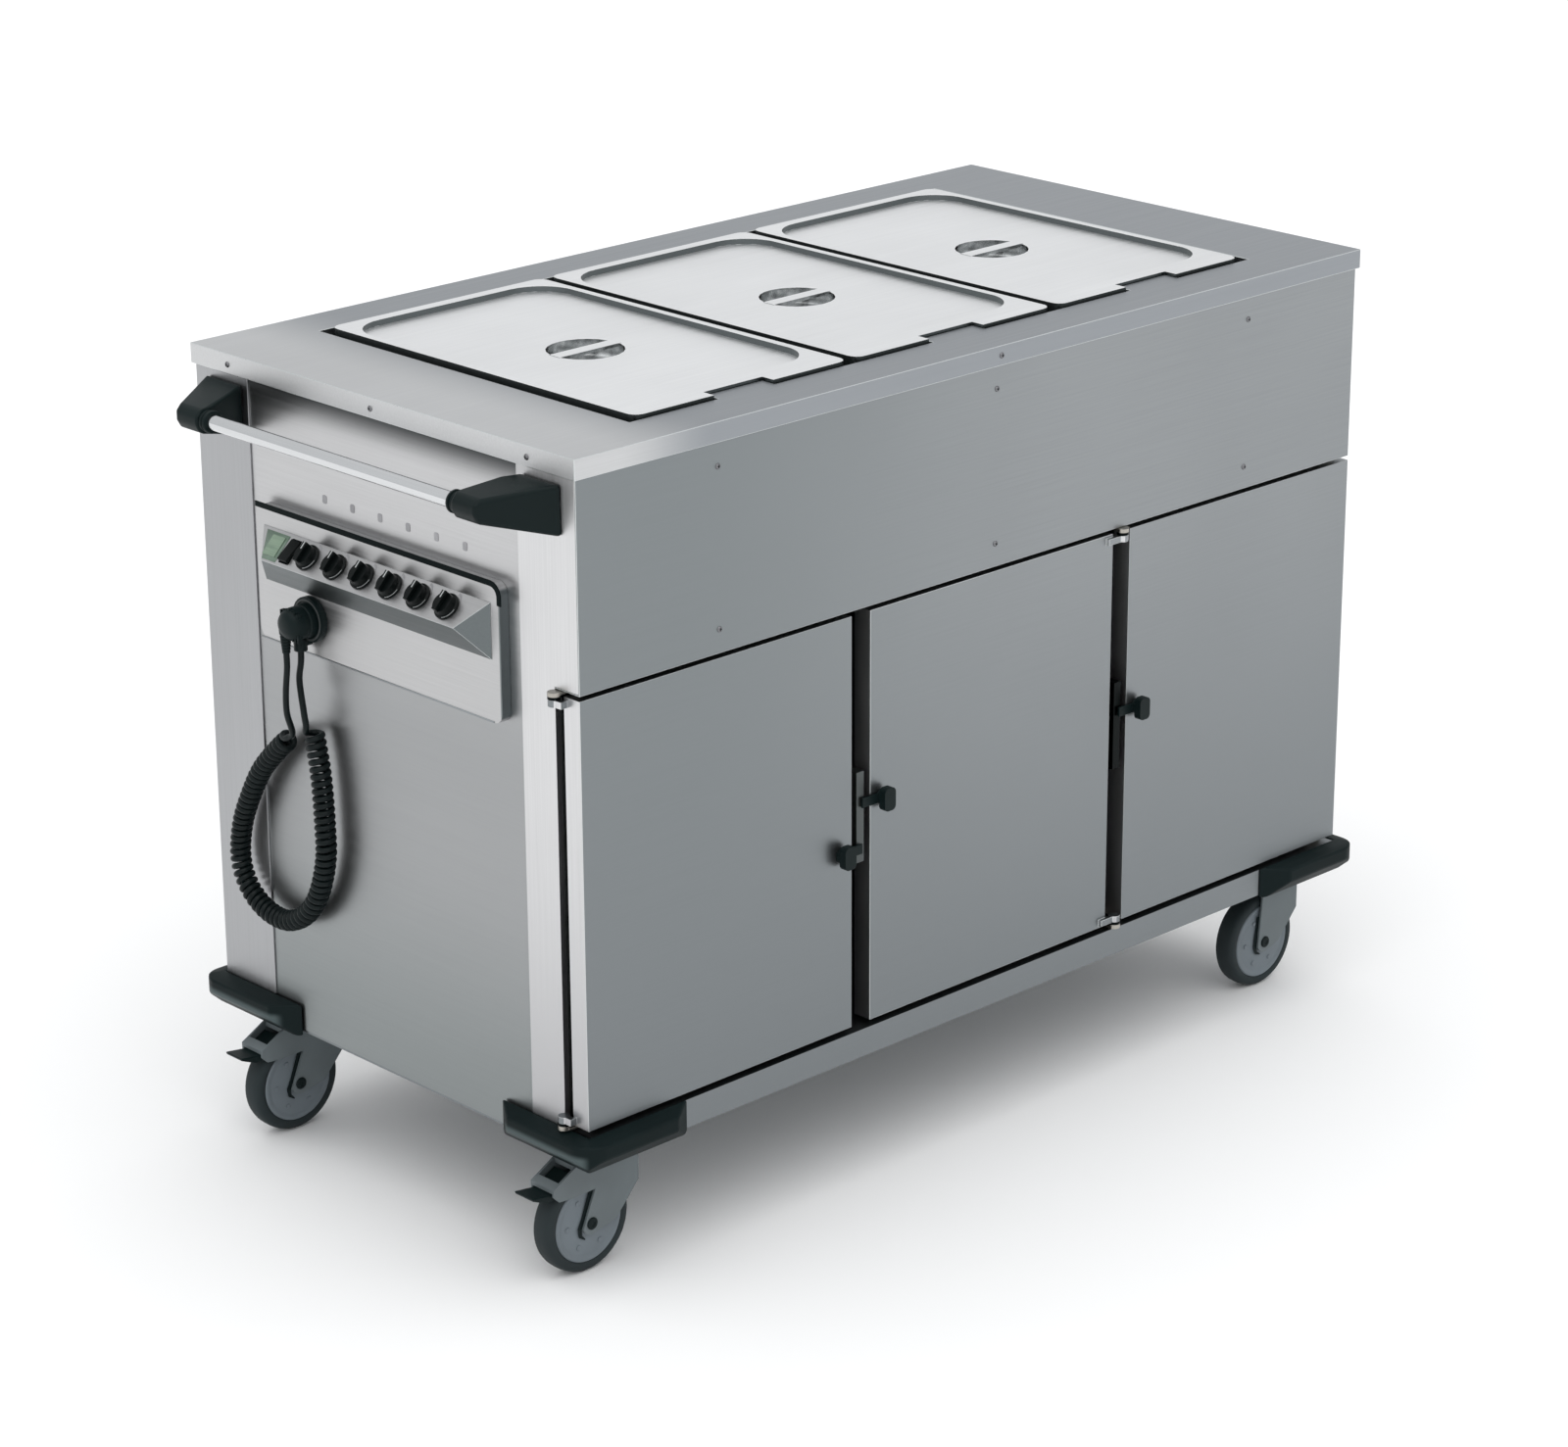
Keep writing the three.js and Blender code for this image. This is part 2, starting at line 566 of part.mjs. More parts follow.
// A knob turned about the local Z axis, with a grip bar across its top.
function knob() {
  const profile = [
    [0, GAP],
    [16, GAP],
    [16, 2.6],
    [13.4, 3.6],
    [12.6, 11],
    [0, 11],
  ].map(([r, z]) => new THREE.Vector2(r, z));
  const body = new THREE.LatheGeometry(profile, 28).rotateX(Math.PI / 2);
  const grip = block([-12.2, 12.2], [-3.2, 3.2], [5, 16.5]);
  return join(body, grip);
}
for (let n = 0; n < 6; n += 1) {
  add(`knob_${n + 1}`, knob(), plastic(...BLACK), slopeFrame(KNOB_FIRST_Y - n * KNOB_PITCH));
}

// ---------- bumpers ----------
const BUMPER_ARM = 148;
const BUMPER_CORNER = 30;
const BUMPER_BEVEL = 35; // the ends slope back to the body

// A corner bumper: its underside slopes up and out, and its top falls a little outwards.
function bumper(sx, sy) {
  const s = new THREE.Shape();
  s.moveTo(GAP, -BUMPER_ARM);
  s.lineTo(BUMPER_REACH, -BUMPER_ARM + BUMPER_BEVEL);
  s.lineTo(BUMPER_REACH, BUMPER_REACH - BUMPER_CORNER);
  s.absarc(BUMPER_REACH - BUMPER_CORNER, BUMPER_REACH - BUMPER_CORNER, BUMPER_CORNER, 0, Math.PI / 2);
  s.lineTo(-BUMPER_ARM + BUMPER_BEVEL, BUMPER_REACH);
  s.lineTo(-BUMPER_ARM, GAP);
  s.lineTo(GAP, GAP);
  const body = solid(raised(s, BUMPER_BOTTOM, BUMPER_TOP, 6));
  const under = 0.8;
  const over = 0.2;
  const cutters = [
    block([0, 60], [-400, 400], [-60, 0]).rotateY(-under).translate(6, 0, BUMPER_BOTTOM),
    block([-400, 400], [0, 60], [-60, 0]).rotateX(under).translate(0, 6, BUMPER_BOTTOM),
    block([0, 60], [-400, 400], [0, 60]).rotateY(over).translate(0, 0, BUMPER_TOP),
    block([-400, 400], [0, 60], [0, 60]).rotateX(-over).translate(0, 0, BUMPER_TOP),
  ];
  const g = surface(cutters.map(solid).reduce((a, b) => a.subtract(b), body));
  const turns = sx > 0 ? (sy > 0 ? 0 : -Math.PI / 2) : sy > 0 ? Math.PI / 2 : Math.PI;
  return g.rotateZ(turns).translate(sx * BODY_X, sy * BODY_Y, 0);
}
const BUMPERS = { front_left: [-1, -1], back_left: [-1, 1], front_right: [1, -1], back_right: [1, 1] };
for (const [name, [sx, sy]] of Object.entries(BUMPERS)) {
  add(`bumper_${name}`, bumper(sx, sy), plastic(...BUMPER_GREY));
}

// ---------- castors ----------
function wheel() {
  const half = WHEEL_WIDTH / 2;
  const profile = [
    [8, -half],
    [49, -half + 1],
    [52, -half + 2],
    [58, -half + 3],
    [WHEEL_RADIUS, -6],
    [WHEEL_RADIUS, 6],
    [58, half - 3],
    [52, half - 2],
    [49, half - 1],
    [8, half],
    [8, -half],
  ].map(([r, y]) => new THREE.Vector2(r, y));
  return new THREE.LatheGeometry(profile, 40);
}

const FORK_INSIDE = WHEEL_WIDTH / 2 + 2;
const FORK_OUTSIDE = FORK_INSIDE + 3;
const FORK_TOP = PLATE_Z - GAP;
const BOSS_RADIUS = 14;
const HOOD_END = [-92, 122]; // outer top corner of the brake hood, from the kingpin

// A plate with an outline in X and Z, between two values of Y.
function sidePlate(points, y0, y1) {
  const shape = new THREE.Shape(points.map(([x, z]) => new THREE.Vector2(x, z)));
  const g = new THREE.ExtrudeGeometry(shape, { depth: y1 - y0, bevelEnabled: false });
  return g.rotateX(Math.PI / 2).translate(0, y1, 0);
}

// The lower end of a leg, round under the axle.
function bossArc(trail) {
  return [200, 225, 250, 275, 300].map((deg) => {
    const a = (deg * Math.PI) / 180;
    return [-trail + BOSS_RADIUS * Math.cos(a), WHEEL_RADIUS + BOSS_RADIUS * Math.sin(a)];
  });
}

// The fork with its axle; the braked one has a hood over the pedal.
function fork(trail, braked) {
  const hood = [
    [-30, 104],
    [-60, 103],
    [-84, 105],
    [HOOD_END[0], 113],
    HOOD_END,
    [-30, FORK_TOP],
  ];
  const plain = [
    [-trail - 9, 100],
    [-30, FORK_TOP],
  ];
  const outline = [
    [36, FORK_TOP],
    [36, 95],
    [19, 76],
    [0, 56],
    ...bossArc(trail).reverse(),
    ...(braked ? hood : plain),
  ];
  const cheeks = [
    sidePlate(outline, -FORK_OUTSIDE, -FORK_INSIDE),
    sidePlate(outline, FORK_INSIDE, FORK_OUTSIDE),
  ];
  const crownLine = [
    [36, FORK_TOP],
    [36, 149],
    [-29, 149],
    [-30, FORK_TOP],
  ];
  const crown = [
    sidePlate(crownLine, -FORK_INSIDE - 1, FORK_INSIDE + 1),
    rod("z", [0, 0, FORK_TOP - 6], 38, 12, 28),
  ];
  if (braked) {
    const roof = [
      [-29, FORK_TOP],
      [-58, 140],
      [-58, 134],
      [-29, 149],
    ];
    const bar = [
      [-82, 127.2],
      [-92, 122],
      [-92, 117],
      [-82, 122],
    ];
    crown.push(sidePlate(roof, -FORK_INSIDE - 1, FORK_INSIDE + 1));
    crown.push(sidePlate(bar, -FORK_INSIDE - 1, FORK_INSIDE + 1));
  }
  const axle = rod("y", [-trail, 0, WHEEL_RADIUS], 7.9, 2 * FORK_INSIDE + 2, 20);
  return join(...cheeks, ...crown, axle);
}

// The brake pedal turns between the cheeks, about a line 84 mm out from the kingpin and 112 mm up.
function pedal() {
  const outline = [
    [-60, 131],
    [-62, 125],
    [-74, 117.5],
    [-86, 107.5],
    [-98, 107],
    [-119, 116],
    [-120, 119.5],
    [-92, 115.5],
    [-84, 118.5],
  ];
  return sidePlate(outline, -FORK_INSIDE + 1, FORK_INSIDE - 1);
}

const CASTORS = [
  ["front_left", -CASTOR_X, -CASTOR_Y, TRAIL, true],
  ["back_left", -CASTOR_X, CASTOR_Y, TRAIL, true],
  ["front_right", FIXED_X, -CASTOR_Y, FIXED_TRAIL, false],
  ["back_right", FIXED_X, CASTOR_Y, FIXED_TRAIL, false],
];
for (const [name, x, y, trail, braked] of CASTORS) {
  const castor = new THREE.Group();
  castor.position.set(x, y, 0);
  unit.add(castor);
  add(`castor_fork_${name}`, fork(trail, braked), plastic(...CASTOR_GREY), castor);
  add(`wheel_${name}`, wheel(), plastic(...TYRE), castor).position.set(-trail, 0, WHEEL_RADIUS);
  if (braked) add(`brake_pedal_${name}`, pedal(), plastic(...BLACK), castor);
}

// ---------- parked plug and curly cord ----------
const PLUG_Y = 116;
const PLUG_Z = 703;
const HOLDER_OUT = 8;
const CORD_RADIUS = 3.8;
const COIL_RADIUS = 13;
const SOCKET_X = COVER_X - GAP;

// The parking socket: a round flange with a gland under it for the cord's fixed end.
add(
  "plug_holder",
  join(
    rod("x", [SOCKET_X - HOLDER_OUT / 2, PLUG_Y, PLUG_Z], 27, HOLDER_OUT, 28),
    rod("z", [SOCKET_X - 13, PLUG_Y + 8, PLUG_Z - 30], 8, 14, 16),
    block([SOCKET_X - 18, SOCKET_X - 1], [PLUG_Y + 1, PLUG_Y + 15], [PLUG_Z - 31, PLUG_Z - 21.5]),
  ),
  plastic(...BLACK),
);

const PLUG_BACK = SOCKET_X - HOLDER_OUT - GAP;
const PLUG_DEPTH = 34;
const PLUG_NECK = [PLUG_BACK - 24, PLUG_Y + 10, PLUG_Z - 36];
add(
  "plug",
  join(
    rod("x", [PLUG_BACK - PLUG_DEPTH / 2, PLUG_Y, PLUG_Z], 20, PLUG_DEPTH, 24),
    rod("z", [PLUG_NECK[0], PLUG_NECK[1], PLUG_Z - 22], 7.5, 28, 16),
  ),
  plastic(...BLACK),
);

// A tube of the cord's own section along a list of points.
function tube(points, radius, sides, steps) {
  const curve = new THREE.CatmullRomCurve3(points.map((p) => new THREE.Vector3(...p)));
  const section = new THREE.Shape();
  for (let i = 0; i < sides; i += 1) {
    const a = (2 * Math.PI * i) / sides;
    if (i === 0) section.moveTo(radius * Math.cos(a), radius * Math.sin(a));
    else section.lineTo(radius * Math.cos(a), radius * Math.sin(a));
  }
  return new THREE.ExtrudeGeometry(section, { extrudePath: curve, steps, bevelEnabled: false });
}

const COIL_X = -BODY_X - 18;
const COIL = [
  [COIL_X, 117, 578],
  [COIL_X, 105, 518],
  [COIL_X, 101, 451],
  [COIL_X, 103, 410],
  [COIL_X, 119, 363],
  [COIL_X, 145, 331],
  [COIL_X, 182, 313],
  [COIL_X, 222, 316],
  [COIL_X, 253, 336],
  [COIL_X, 267, 368],
  [COIL_X, 261, 412],
  [COIL_X, 243, 452],
  [COIL_X, 216, 495],
  [COIL_X, 178, 533],
  [COIL_X, 154, 552],
];
add("cord_coil", tube(COIL, COIL_RADIUS, 12, 36), plastic(...BLACK));

const GLAND_END = [SOCKET_X - 13, PLUG_Y + 8, PLUG_Z - 37 - GAP];
const coilStart = COIL[0];
const coilEnd = COIL[COIL.length - 1];
add(
  "cord_tail_gland",
  tube(
    [
      GLAND_END,
      [GLAND_END[0], GLAND_END[1] + 1, GLAND_END[2] - 15],
      [GLAND_END[0] + 2, GLAND_END[1] + 7, GLAND_END[2] - 42],
      [GLAND_END[0] + 4, GLAND_END[1] + 3, GLAND_END[2] - 66],
      [coilStart[0], coilStart[1] + 1, coilStart[2] + 3 * GAP],
    ],
    CORD_RADIUS,
    8,
    14,
  ),
  plastic(...BLACK),
);
add(
  "cord_tail_plug",
  tube(
    [
      [PLUG_NECK[0], PLUG_NECK[1], PLUG_NECK[2] - GAP],
      [PLUG_NECK[0], PLUG_NECK[1], PLUG_NECK[2] - 18],
      [PLUG_NECK[0] + 3, PLUG_NECK[1] + 8, PLUG_NECK[2] - 52],
      [PLUG_NECK[0] + 10, PLUG_NECK[1] + 13, PLUG_NECK[2] - 78],
      [PLUG_NECK[0] + 20, PLUG_NECK[1] + 20, PLUG_NECK[2] - 100],
      [coilEnd[0], coilEnd[1] - 3, coilEnd[2] + 3],
    ],
    CORD_RADIUS,
    8,
    16,
  ),
  plastic(...BLACK),
);

export default unit;
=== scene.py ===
# Looks for the heated serving trolley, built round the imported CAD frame. Metres, +Z up.
import math

import bmesh
import bpy
from mathutils import Matrix, Vector


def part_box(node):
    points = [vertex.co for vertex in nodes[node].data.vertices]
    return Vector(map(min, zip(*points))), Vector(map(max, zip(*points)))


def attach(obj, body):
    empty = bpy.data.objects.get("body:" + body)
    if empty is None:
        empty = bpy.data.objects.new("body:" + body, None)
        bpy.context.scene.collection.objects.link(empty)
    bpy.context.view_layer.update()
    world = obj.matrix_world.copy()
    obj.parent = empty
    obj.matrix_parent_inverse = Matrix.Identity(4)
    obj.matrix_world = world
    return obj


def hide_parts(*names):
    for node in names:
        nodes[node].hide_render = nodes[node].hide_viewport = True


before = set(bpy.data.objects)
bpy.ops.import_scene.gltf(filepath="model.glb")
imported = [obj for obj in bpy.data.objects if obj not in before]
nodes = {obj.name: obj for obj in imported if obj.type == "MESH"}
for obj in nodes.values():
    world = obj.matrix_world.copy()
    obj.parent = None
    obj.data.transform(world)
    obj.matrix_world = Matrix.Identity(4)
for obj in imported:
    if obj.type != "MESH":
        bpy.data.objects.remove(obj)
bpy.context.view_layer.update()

scene = bpy.context.scene
MM = 0.001


def span(name):
    lo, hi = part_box(name)
    return Vector(lo), Vector(hi)


worktop_lo, worktop_hi = span("worktop")
MID_X = (worktop_lo.x + worktop_hi.x) / 2  # the middle of the body, along X
apron_lo = span("front_apron")[0]
cover_lo, cover_hi = span("control_cover")
FACE_X = apron_lo.x  # outer face of the control end
FACE_Y = apron_lo.y  # outer face of the door side


def at(x, y, z):
    """A point given in millimetres from the middle of the body, on the floor."""
    return Vector((x * MM + MID_X, y * MM, z * MM))


# ---------------------------------------------------------------- camera
def aim_camera(location, azimuth, elevation, roll, lens):
    """Angles are in degrees, and azimuth 0 looks along +Y, at the doors. The lens is in mm."""
    a, e, r = (math.radians(v) for v in (azimuth, elevation, roll))
    back = Vector((math.sin(a) * math.cos(e), -math.cos(a) * math.cos(e), math.sin(e)))
    right = Vector((math.cos(a), math.sin(a), 0))
    up = back.cross(right)
    side = right * math.cos(r) + up * math.sin(r)
    rise = up * math.cos(r) - right * math.sin(r)
    data = bpy.data.cameras.new("camera")
    data.lens = lens
    data.sensor_fit = "HORIZONTAL"
    data.sensor_width = 36
    data.clip_end = 100
    cam = bpy.data.objects.new("camera", data)
    cam.matrix_world = Matrix.Translation(location) @ Matrix((side, rise, back)).transposed().to_4x4()
    scene.collection.objects.link(cam)
    scene.camera = cam


aim_camera(at(-3578, -3706.4, 2311.3), -43.788, 19.987, -0.291, 101.52)


# ---------------------------------------------------------------- materials
class Mat:
    """A node material with a Principled shader and object coordinates."""

    def __init__(self, name, **sockets):
        self.mat = bpy.data.materials.new(name)
        self.mat.use_nodes = True
        self.tree = self.mat.node_tree
        self.shader = self.tree.nodes["Principled BSDF"]
        for key, value in sockets.items():
            self.shader.inputs[key.replace("_", " ")].default_value = value
        self.coords = self.tree.nodes.new("ShaderNodeTexCoord").outputs["Object"]

    def link(self, a, b):
        self.tree.links.new(a, b)

    def noise(self, scale, stretch=(1, 1, 1), detail=3.0, rough=0.5):
        mapping = self.tree.nodes.new("ShaderNodeMapping")
        mapping.inputs["Scale"].default_value = stretch
        self.link(self.coords, mapping.inputs["Vector"])
        n = self.tree.nodes.new("ShaderNodeTexNoise")
        n.inputs["Scale"].default_value = scale
        n.inputs["Detail"].default_value = detail
        n.inputs["Roughness"].default_value = rough
        self.link(mapping.outputs["Vector"], n.inputs["Vector"])
        return n.outputs["Fac"]

    def ramp(self, fac, stops):
        r = self.tree.nodes.new("ShaderNodeValToRGB")
        while len(r.color_ramp.elements) < len(stops):
            r.color_ramp.elements.new(0.5)
        for el, (pos, value) in zip(r.color_ramp.elements, stops):
            el.position = pos
            el.color = (*value, 1) if isinstance(value, tuple) else (value, value, value, 1)
        self.link(fac, r.inputs["Fac"])
        return r.outputs["Color"]

    def mix(self, fac, a, b, blend="MIX"):
        m = self.tree.nodes.new("ShaderNodeMix")
        m.data_type = "RGBA"
        m.blend_type = blend
        for socket, value in ((m.inputs[0], fac), (m.inputs[6], a), (m.inputs[7], b)):
            if isinstance(value, (int, float)):
                socket.default_value = value
            elif isinstance(value, tuple):
                socket.default_value = (*value, 1)
            else:
                self.link(value, socket)
        return m.outputs[2]

    def axis(self, letter):
        s = self.tree.nodes.new("ShaderNodeSeparateXYZ")
        self.link(self.coords, s.inputs[0])
        return s.outputs[letter]

    def fade(self, value, start, end):
        """0 at start, 1 at end, smooth between."""
        m = self.tree.nodes.new("ShaderNodeMapRange")
        m.interpolation_type = "SMOOTHSTEP"
        m.inputs["From Min"].default_value = start
        m.inputs["From Max"].default_value = end
        self.link(value, m.inputs["Value"])
        return m.outputs["Result"]

    def bump(self, height, strength, distance=0.001):
        b = self.tree.nodes.new("ShaderNodeBump")
        b.inputs["Strength"].default_value = strength
        b.inputs["Distance"].default_value = distance
        self.link(height, b.inputs["Height"])
        self.link(b.outputs["Normal"], self.shader.inputs["Normal"])

    def colour(self, output):
        self.link(output, self.shader.inputs["Base Color"])

    def roughness(self, output):
        self.link(output, self.shader.inputs["Roughness"])


ACROSS = 420  # grain lines per metre of coordinate, across the brushing


def shade(colour, k):
    return tuple(min(1, c * k) for c in colour)


def steel(name, colour, rough=0.34, grain="x", contrast=0.05, bump=0.06, tint=None):
    """Brushed stainless sheet: fine grain lines along one axis, faint cloudiness and wear."""
    m = Mat(name, Metallic=1.0)
    stretch = {"x": (0.012, 1, 1), "y": (1, 0.012, 1), "z": (1, 1, 0.012)}[grain]
    lines = m.noise(ACROSS, stretch, 4.0, 0.6)
    cloud = m.noise(3.1, (1, 1, 1), 3.0)
    fine = m.ramp(lines, [(0.3, shade(colour, 1 - contrast)), (0.7, shade(colour, 1 + contrast))])
    clouds = m.ramp(cloud, [(0.35, 0.95), (0.65, 1.0)])
    base = m.mix(1.0, fine, clouds, "MULTIPLY")
    if tint:
        base = tint(m, base)
    m.colour(base)
    m.roughness(m.ramp(lines, [(0.25, rough - 0.05), (0.75, rough + 0.06)]))
    m.bump(lines, bump, 0.0004)
    return m.mat


def plastic(name, colour, rough, grain=900, bump=0.12, gloss=0.5, tint=None):
    """Moulded plastic with a fine eroded texture and slight rubbing on it."""
    m = Mat(name, Specular_IOR_Level=gloss)
    pores = m.noise(grain, (1, 1, 1), 2.0)
    rub = m.noise(14, (1, 1, 1), 4.0)
    base = m.ramp(rub, [(0.35, colour), (0.8, shade(colour, 1.35))])
    m.colour(tint(m, base) if tint else base)
    m.roughness(m.ramp(rub, [(0.3, rough), (0.8, rough + 0.12)]))
    m.bump(pores, bump, 0.0003)
    return m.mat


def panel_painted_shade(m, base):
    """Painted reflection and shadow: darker downwards, for darker surroundings mirrored there, and darkest
    in the recess under the rim, for the shadow there.
    """
    z = m.axis("Z")
    middle = m.mix(m.fade(z, 0.86, 0.60), base, (0.345, 0.352, 0.358))
    low = m.mix(m.fade(z, 0.50, 0.18), middle, (0.265, 0.285, 0.287))
    return m.mix(m.fade(z, 0.922, 0.966), low, (0.045, 0.05, 0.052))


def post_painted_shade(m, base):
    """Painted shade: slightly darker towards the floor."""
    return m.mix(m.fade(m.axis("Z"), 0.60, 0.16), base, (0.50, 0.50, 0.51))


def worktop_painted_light(m, base):
    """Painted reflection: brightest at the control end, and even from there on."""
    inward = m.fade(m.axis("X"), FACE_X + 50 * MM, FACE_X + 200 * MM)
    return m.mix(inward, base, (0.305, 0.322, 0.342))


def front_painted_shade(m, base):
    """Painted reflection and shade: a slow change of tone along the door side and down it."""
    near_end = m.fade(m.axis("X"), MID_X + 150 * MM, FACE_X + 100 * MM)
    along = m.mix(near_end, base, (0.225, 0.245, 0.253))
    return m.mix(m.fade(m.axis("Z"), 0.95, 0.10), along, (0.215, 0.232, 0.242))


def cover_end_shade(m, base):
    """Painted shade: the end of the cover that looks towards the doors is darker than its face."""
    end = m.fade(m.axis("Y"), cover_lo.y + 3.5 * MM, cover_lo.y + 1 * MM)
    return m.mix(end, base, (0.15, 0.17, 0.175))


def bumper_tint(m, base):
    """The lower outer lip of the control end's bumpers is a lighter grey, in place of a sheen."""
    outer = m.fade(m.axis("X"), FACE_X - 14 * MM, FACE_X - 22 * MM)
    low = m.fade(m.axis("Z"), 186 * MM, 178 * MM)
    return m.mix(m.mix(low, (0.0, 0.0, 0.0), outer), base, (0.075, 0.098, 0.100))


KNUCKLE_LOW, KNUCKLE_HIGH = 204 * MM, 713 * MM  # where a strap's knuckles begin, at its two ends
FLANGE_SHADE_Z = 965 * MM  # the lower side of the painted shade on a well's flange
CRISP = 0.5 * MM  # width of a change of colour that looks sharp


def strap_painted_shade(m, base):
    """Painted shade: between the knuckles the strap stands in the dark of the door gap, and is coloured
    black for that shade.
    """
    low = m.fade(m.axis("Z"), KNUCKLE_LOW, KNUCKLE_LOW + CRISP)
    high = m.fade(m.axis("Z"), KNUCKLE_HIGH, KNUCKLE_HIGH - CRISP)
    dark = m.mix(low, base, (0.006, 0.008, 0.008))
    return m.mix(high, base, dark)


def well_painted_shade(m, base):
    """Painted shade: the top flange, seen in the gaps round the lids, is dark for the shadow there; the pan
    below it is bare steel.
    """
    return m.mix(m.fade(m.axis("Z"), FLANGE_SHADE_Z, FLANGE_SHADE_Z + CRISP), base, (0.050, 0.060, 0.061))


def partition_painted_shade(m, base):
    """Painted shade: the front strip, which shows between the doors, is coloured black for the dark of the
    door gaps.
    """
    return m.mix(m.fade(m.axis("Y"), -284 * MM, -287 * MM), base, (0.002, 0.005, 0.0055))


# Painted light and shade: the worktop, lids, door side, posts, control end and cover are one stainless
# steel, each given its own lighter or darker tone for the light it catches and the surroundings it mirrors.
WORKTOP = steel("worktop_steel", (0.59, 0.595, 0.60), 0.36, "x", tint=worktop_painted_light)
LID = steel("lid_steel", (0.87, 0.875, 0.88), 0.40, "x", 0.03, 0.04)
# Painted reflection and shade: darker copies of the lid steel, for the lids' pressed walls, which mirror
# dark surroundings, and their turned-down sides, which stand in shade.
LID_WALL_SHADE = steel("lid_wall_shade_steel", (0.13, 0.145, 0.148), 0.3, "x", 0.03, 0.04)
LID_SIDE_SHADE = steel("lid_side_shade_steel", (0.085, 0.097, 0.098), 0.45, "x", 0.03, 0.04)
FRONT = steel("front_steel", (0.305, 0.32, 0.33), 0.36, "x", tint=front_painted_shade)
POST = steel("post_steel", (0.655, 0.655, 0.66), 0.36, "z", tint=post_painted_shade)
POST_BACK = steel("post_back_steel", (0.40, 0.405, 0.415), 0.36, "z")
CONTROL = steel("control_steel", (0.54, 0.54, 0.545), 0.36, "y", tint=panel_painted_shade)
COVER = steel("cover_steel", (0.50, 0.50, 0.503), 0.36, "y", tint=cover_end_shade)
FASCIA_SHADE = steel("fascia_shade_steel", (0.15, 0.168, 0.172), 0.36, "y")
INNER = steel("inner_steel", (0.42, 0.43, 0.44), 0.45, "x")
PARTITION = steel("partition_steel", (0.42, 0.43, 0.44), 0.45, "x", tint=partition_painted_shade)
WELL = steel("well_steel", (0.50, 0.51, 0.52), 0.4, "x", tint=well_painted_shade)
EDGE = steel("edge_shadow_grey", (0.30, 0.32, 0.33), 0.35, "y")
BAR = steel("bar_steel", (0.66, 0.67, 0.68), 0.12, "y", 0.02, 0.02)
EDGE_HIGHLIGHT = steel("edge_highlight_steel", (0.66, 0.69, 0.69), 0.3, "x", 0.02, 0.02)
HINGE = steel("hinge_steel", (0.42, 0.40, 0.36), 0.3, "z", 0.06, tint=strap_painted_shade)
KEEPER = steel("keeper_steel", (0.10, 0.11, 0.11), 0.4, "z", 0.06)
DARK = plastic("dark_fitting", (0.0022, 0.0055, 0.0058), 0.5, gloss=0.06)
BLACK = plastic("black_plastic", (0.0045, 0.0095, 0.0098), 0.36, gloss=0.12)
KNOB = plastic("knob_black", (0.0025, 0.004, 0.004), 0.28, 1200, 0.05, gloss=0.12)
BUMPER = plastic("bumper_plastic", (0.005, 0.010, 0.0105), 0.45, 700, 0.2, gloss=0.08, tint=bumper_tint)
CASTOR = plastic("castor_grey", (0.105, 0.125, 0.132), 0.5)
DISC = plastic("disc_grey", (0.125, 0.148, 0.165), 0.5)
TYRE = plastic("tyre_rubber", (0.013, 0.020, 0.022), 0.62, 500, 0.25, gloss=0.3)
CORD = plastic("cord_black", (0.003, 0.0065, 0.0068), 0.34, 1500, 0.06, gloss=0.16)
WHITE = plastic("pointer_and_highlight_white", (0.42, 0.44, 0.44), 0.4)
MARK = plastic("mark_grey", (0.30, 0.30, 0.31), 0.5, gloss=0.1)
RING = plastic("ring_grey", (0.045, 0.05, 0.05), 0.4, gloss=0.2)
SCREW = steel("screw_steel", (0.22, 0.22, 0.23), 0.4, "z")


def pilot_green():
    m = Mat("pilot_green", Roughness=0.12, Coat_Weight=0.6, Coat_Roughness=0.08)
    ribs = m.noise(260, (1, 0.1, 1), 1.0)
    m.colour(m.ramp(ribs, [(0.3, (0.13, 0.20, 0.14)), (0.7, (0.20, 0.29, 0.20))]))
    m.bump(ribs, 0.25, 0.0006)
    return m.mat


GREEN = pilot_green()
PLATE = plastic("plate_green", (0.135, 0.195, 0.150), 0.3)


PATCHES = ((25, 9, 19), (-31, 6, 15), (4, -20, 12))  # x and y from the bowl's middle, and reach, in mm
PATCH_Z = 970 * MM


def dish_steel(i, mid):
    """Polished bowl with three dark patches beside its grip, in place of what it mirrors."""
    m = Mat(f"dish_steel_{i}", Metallic=1.0, Roughness=0.12)
    patches = None
    for dx, dy, reach in PATCHES:
        d = m.tree.nodes.new("ShaderNodeVectorMath")
        d.operation = "DISTANCE"
        d.inputs[1].default_value = (mid.x + dx * MM, mid.y + dy * MM, PATCH_Z)
        m.link(m.coords, d.inputs[0])
        spot = m.fade(d.outputs["Value"], reach * MM, reach * 0.35 * MM)
        patches = spot if patches is None else m.mix(1.0, patches, spot, "LIGHTEN")
    # Painted reflection: the streaks of lighter and darker steel over the bowl stand for what it mirrors.
    mirrored_streaks = m.ramp(m.noise(70, (1, 1, 1), 2.0), [(0.4, (0.55, 0.565, 0.57)), (0.62, (0.80, 0.81, 0.81))])
    m.colour(m.mix(patches, mirrored_streaks, (0.075, 0.088, 0.088)))
    return m.mat


# ---------------------------------------------------------------- mesh helpers
def paint(obj, mat):
    """One smooth-shaded material all over."""
    obj.data.materials.clear()
    obj.data.materials.append(mat)
    for p in obj.data.polygons:
        p.use_smooth = True
        p.material_index = 0


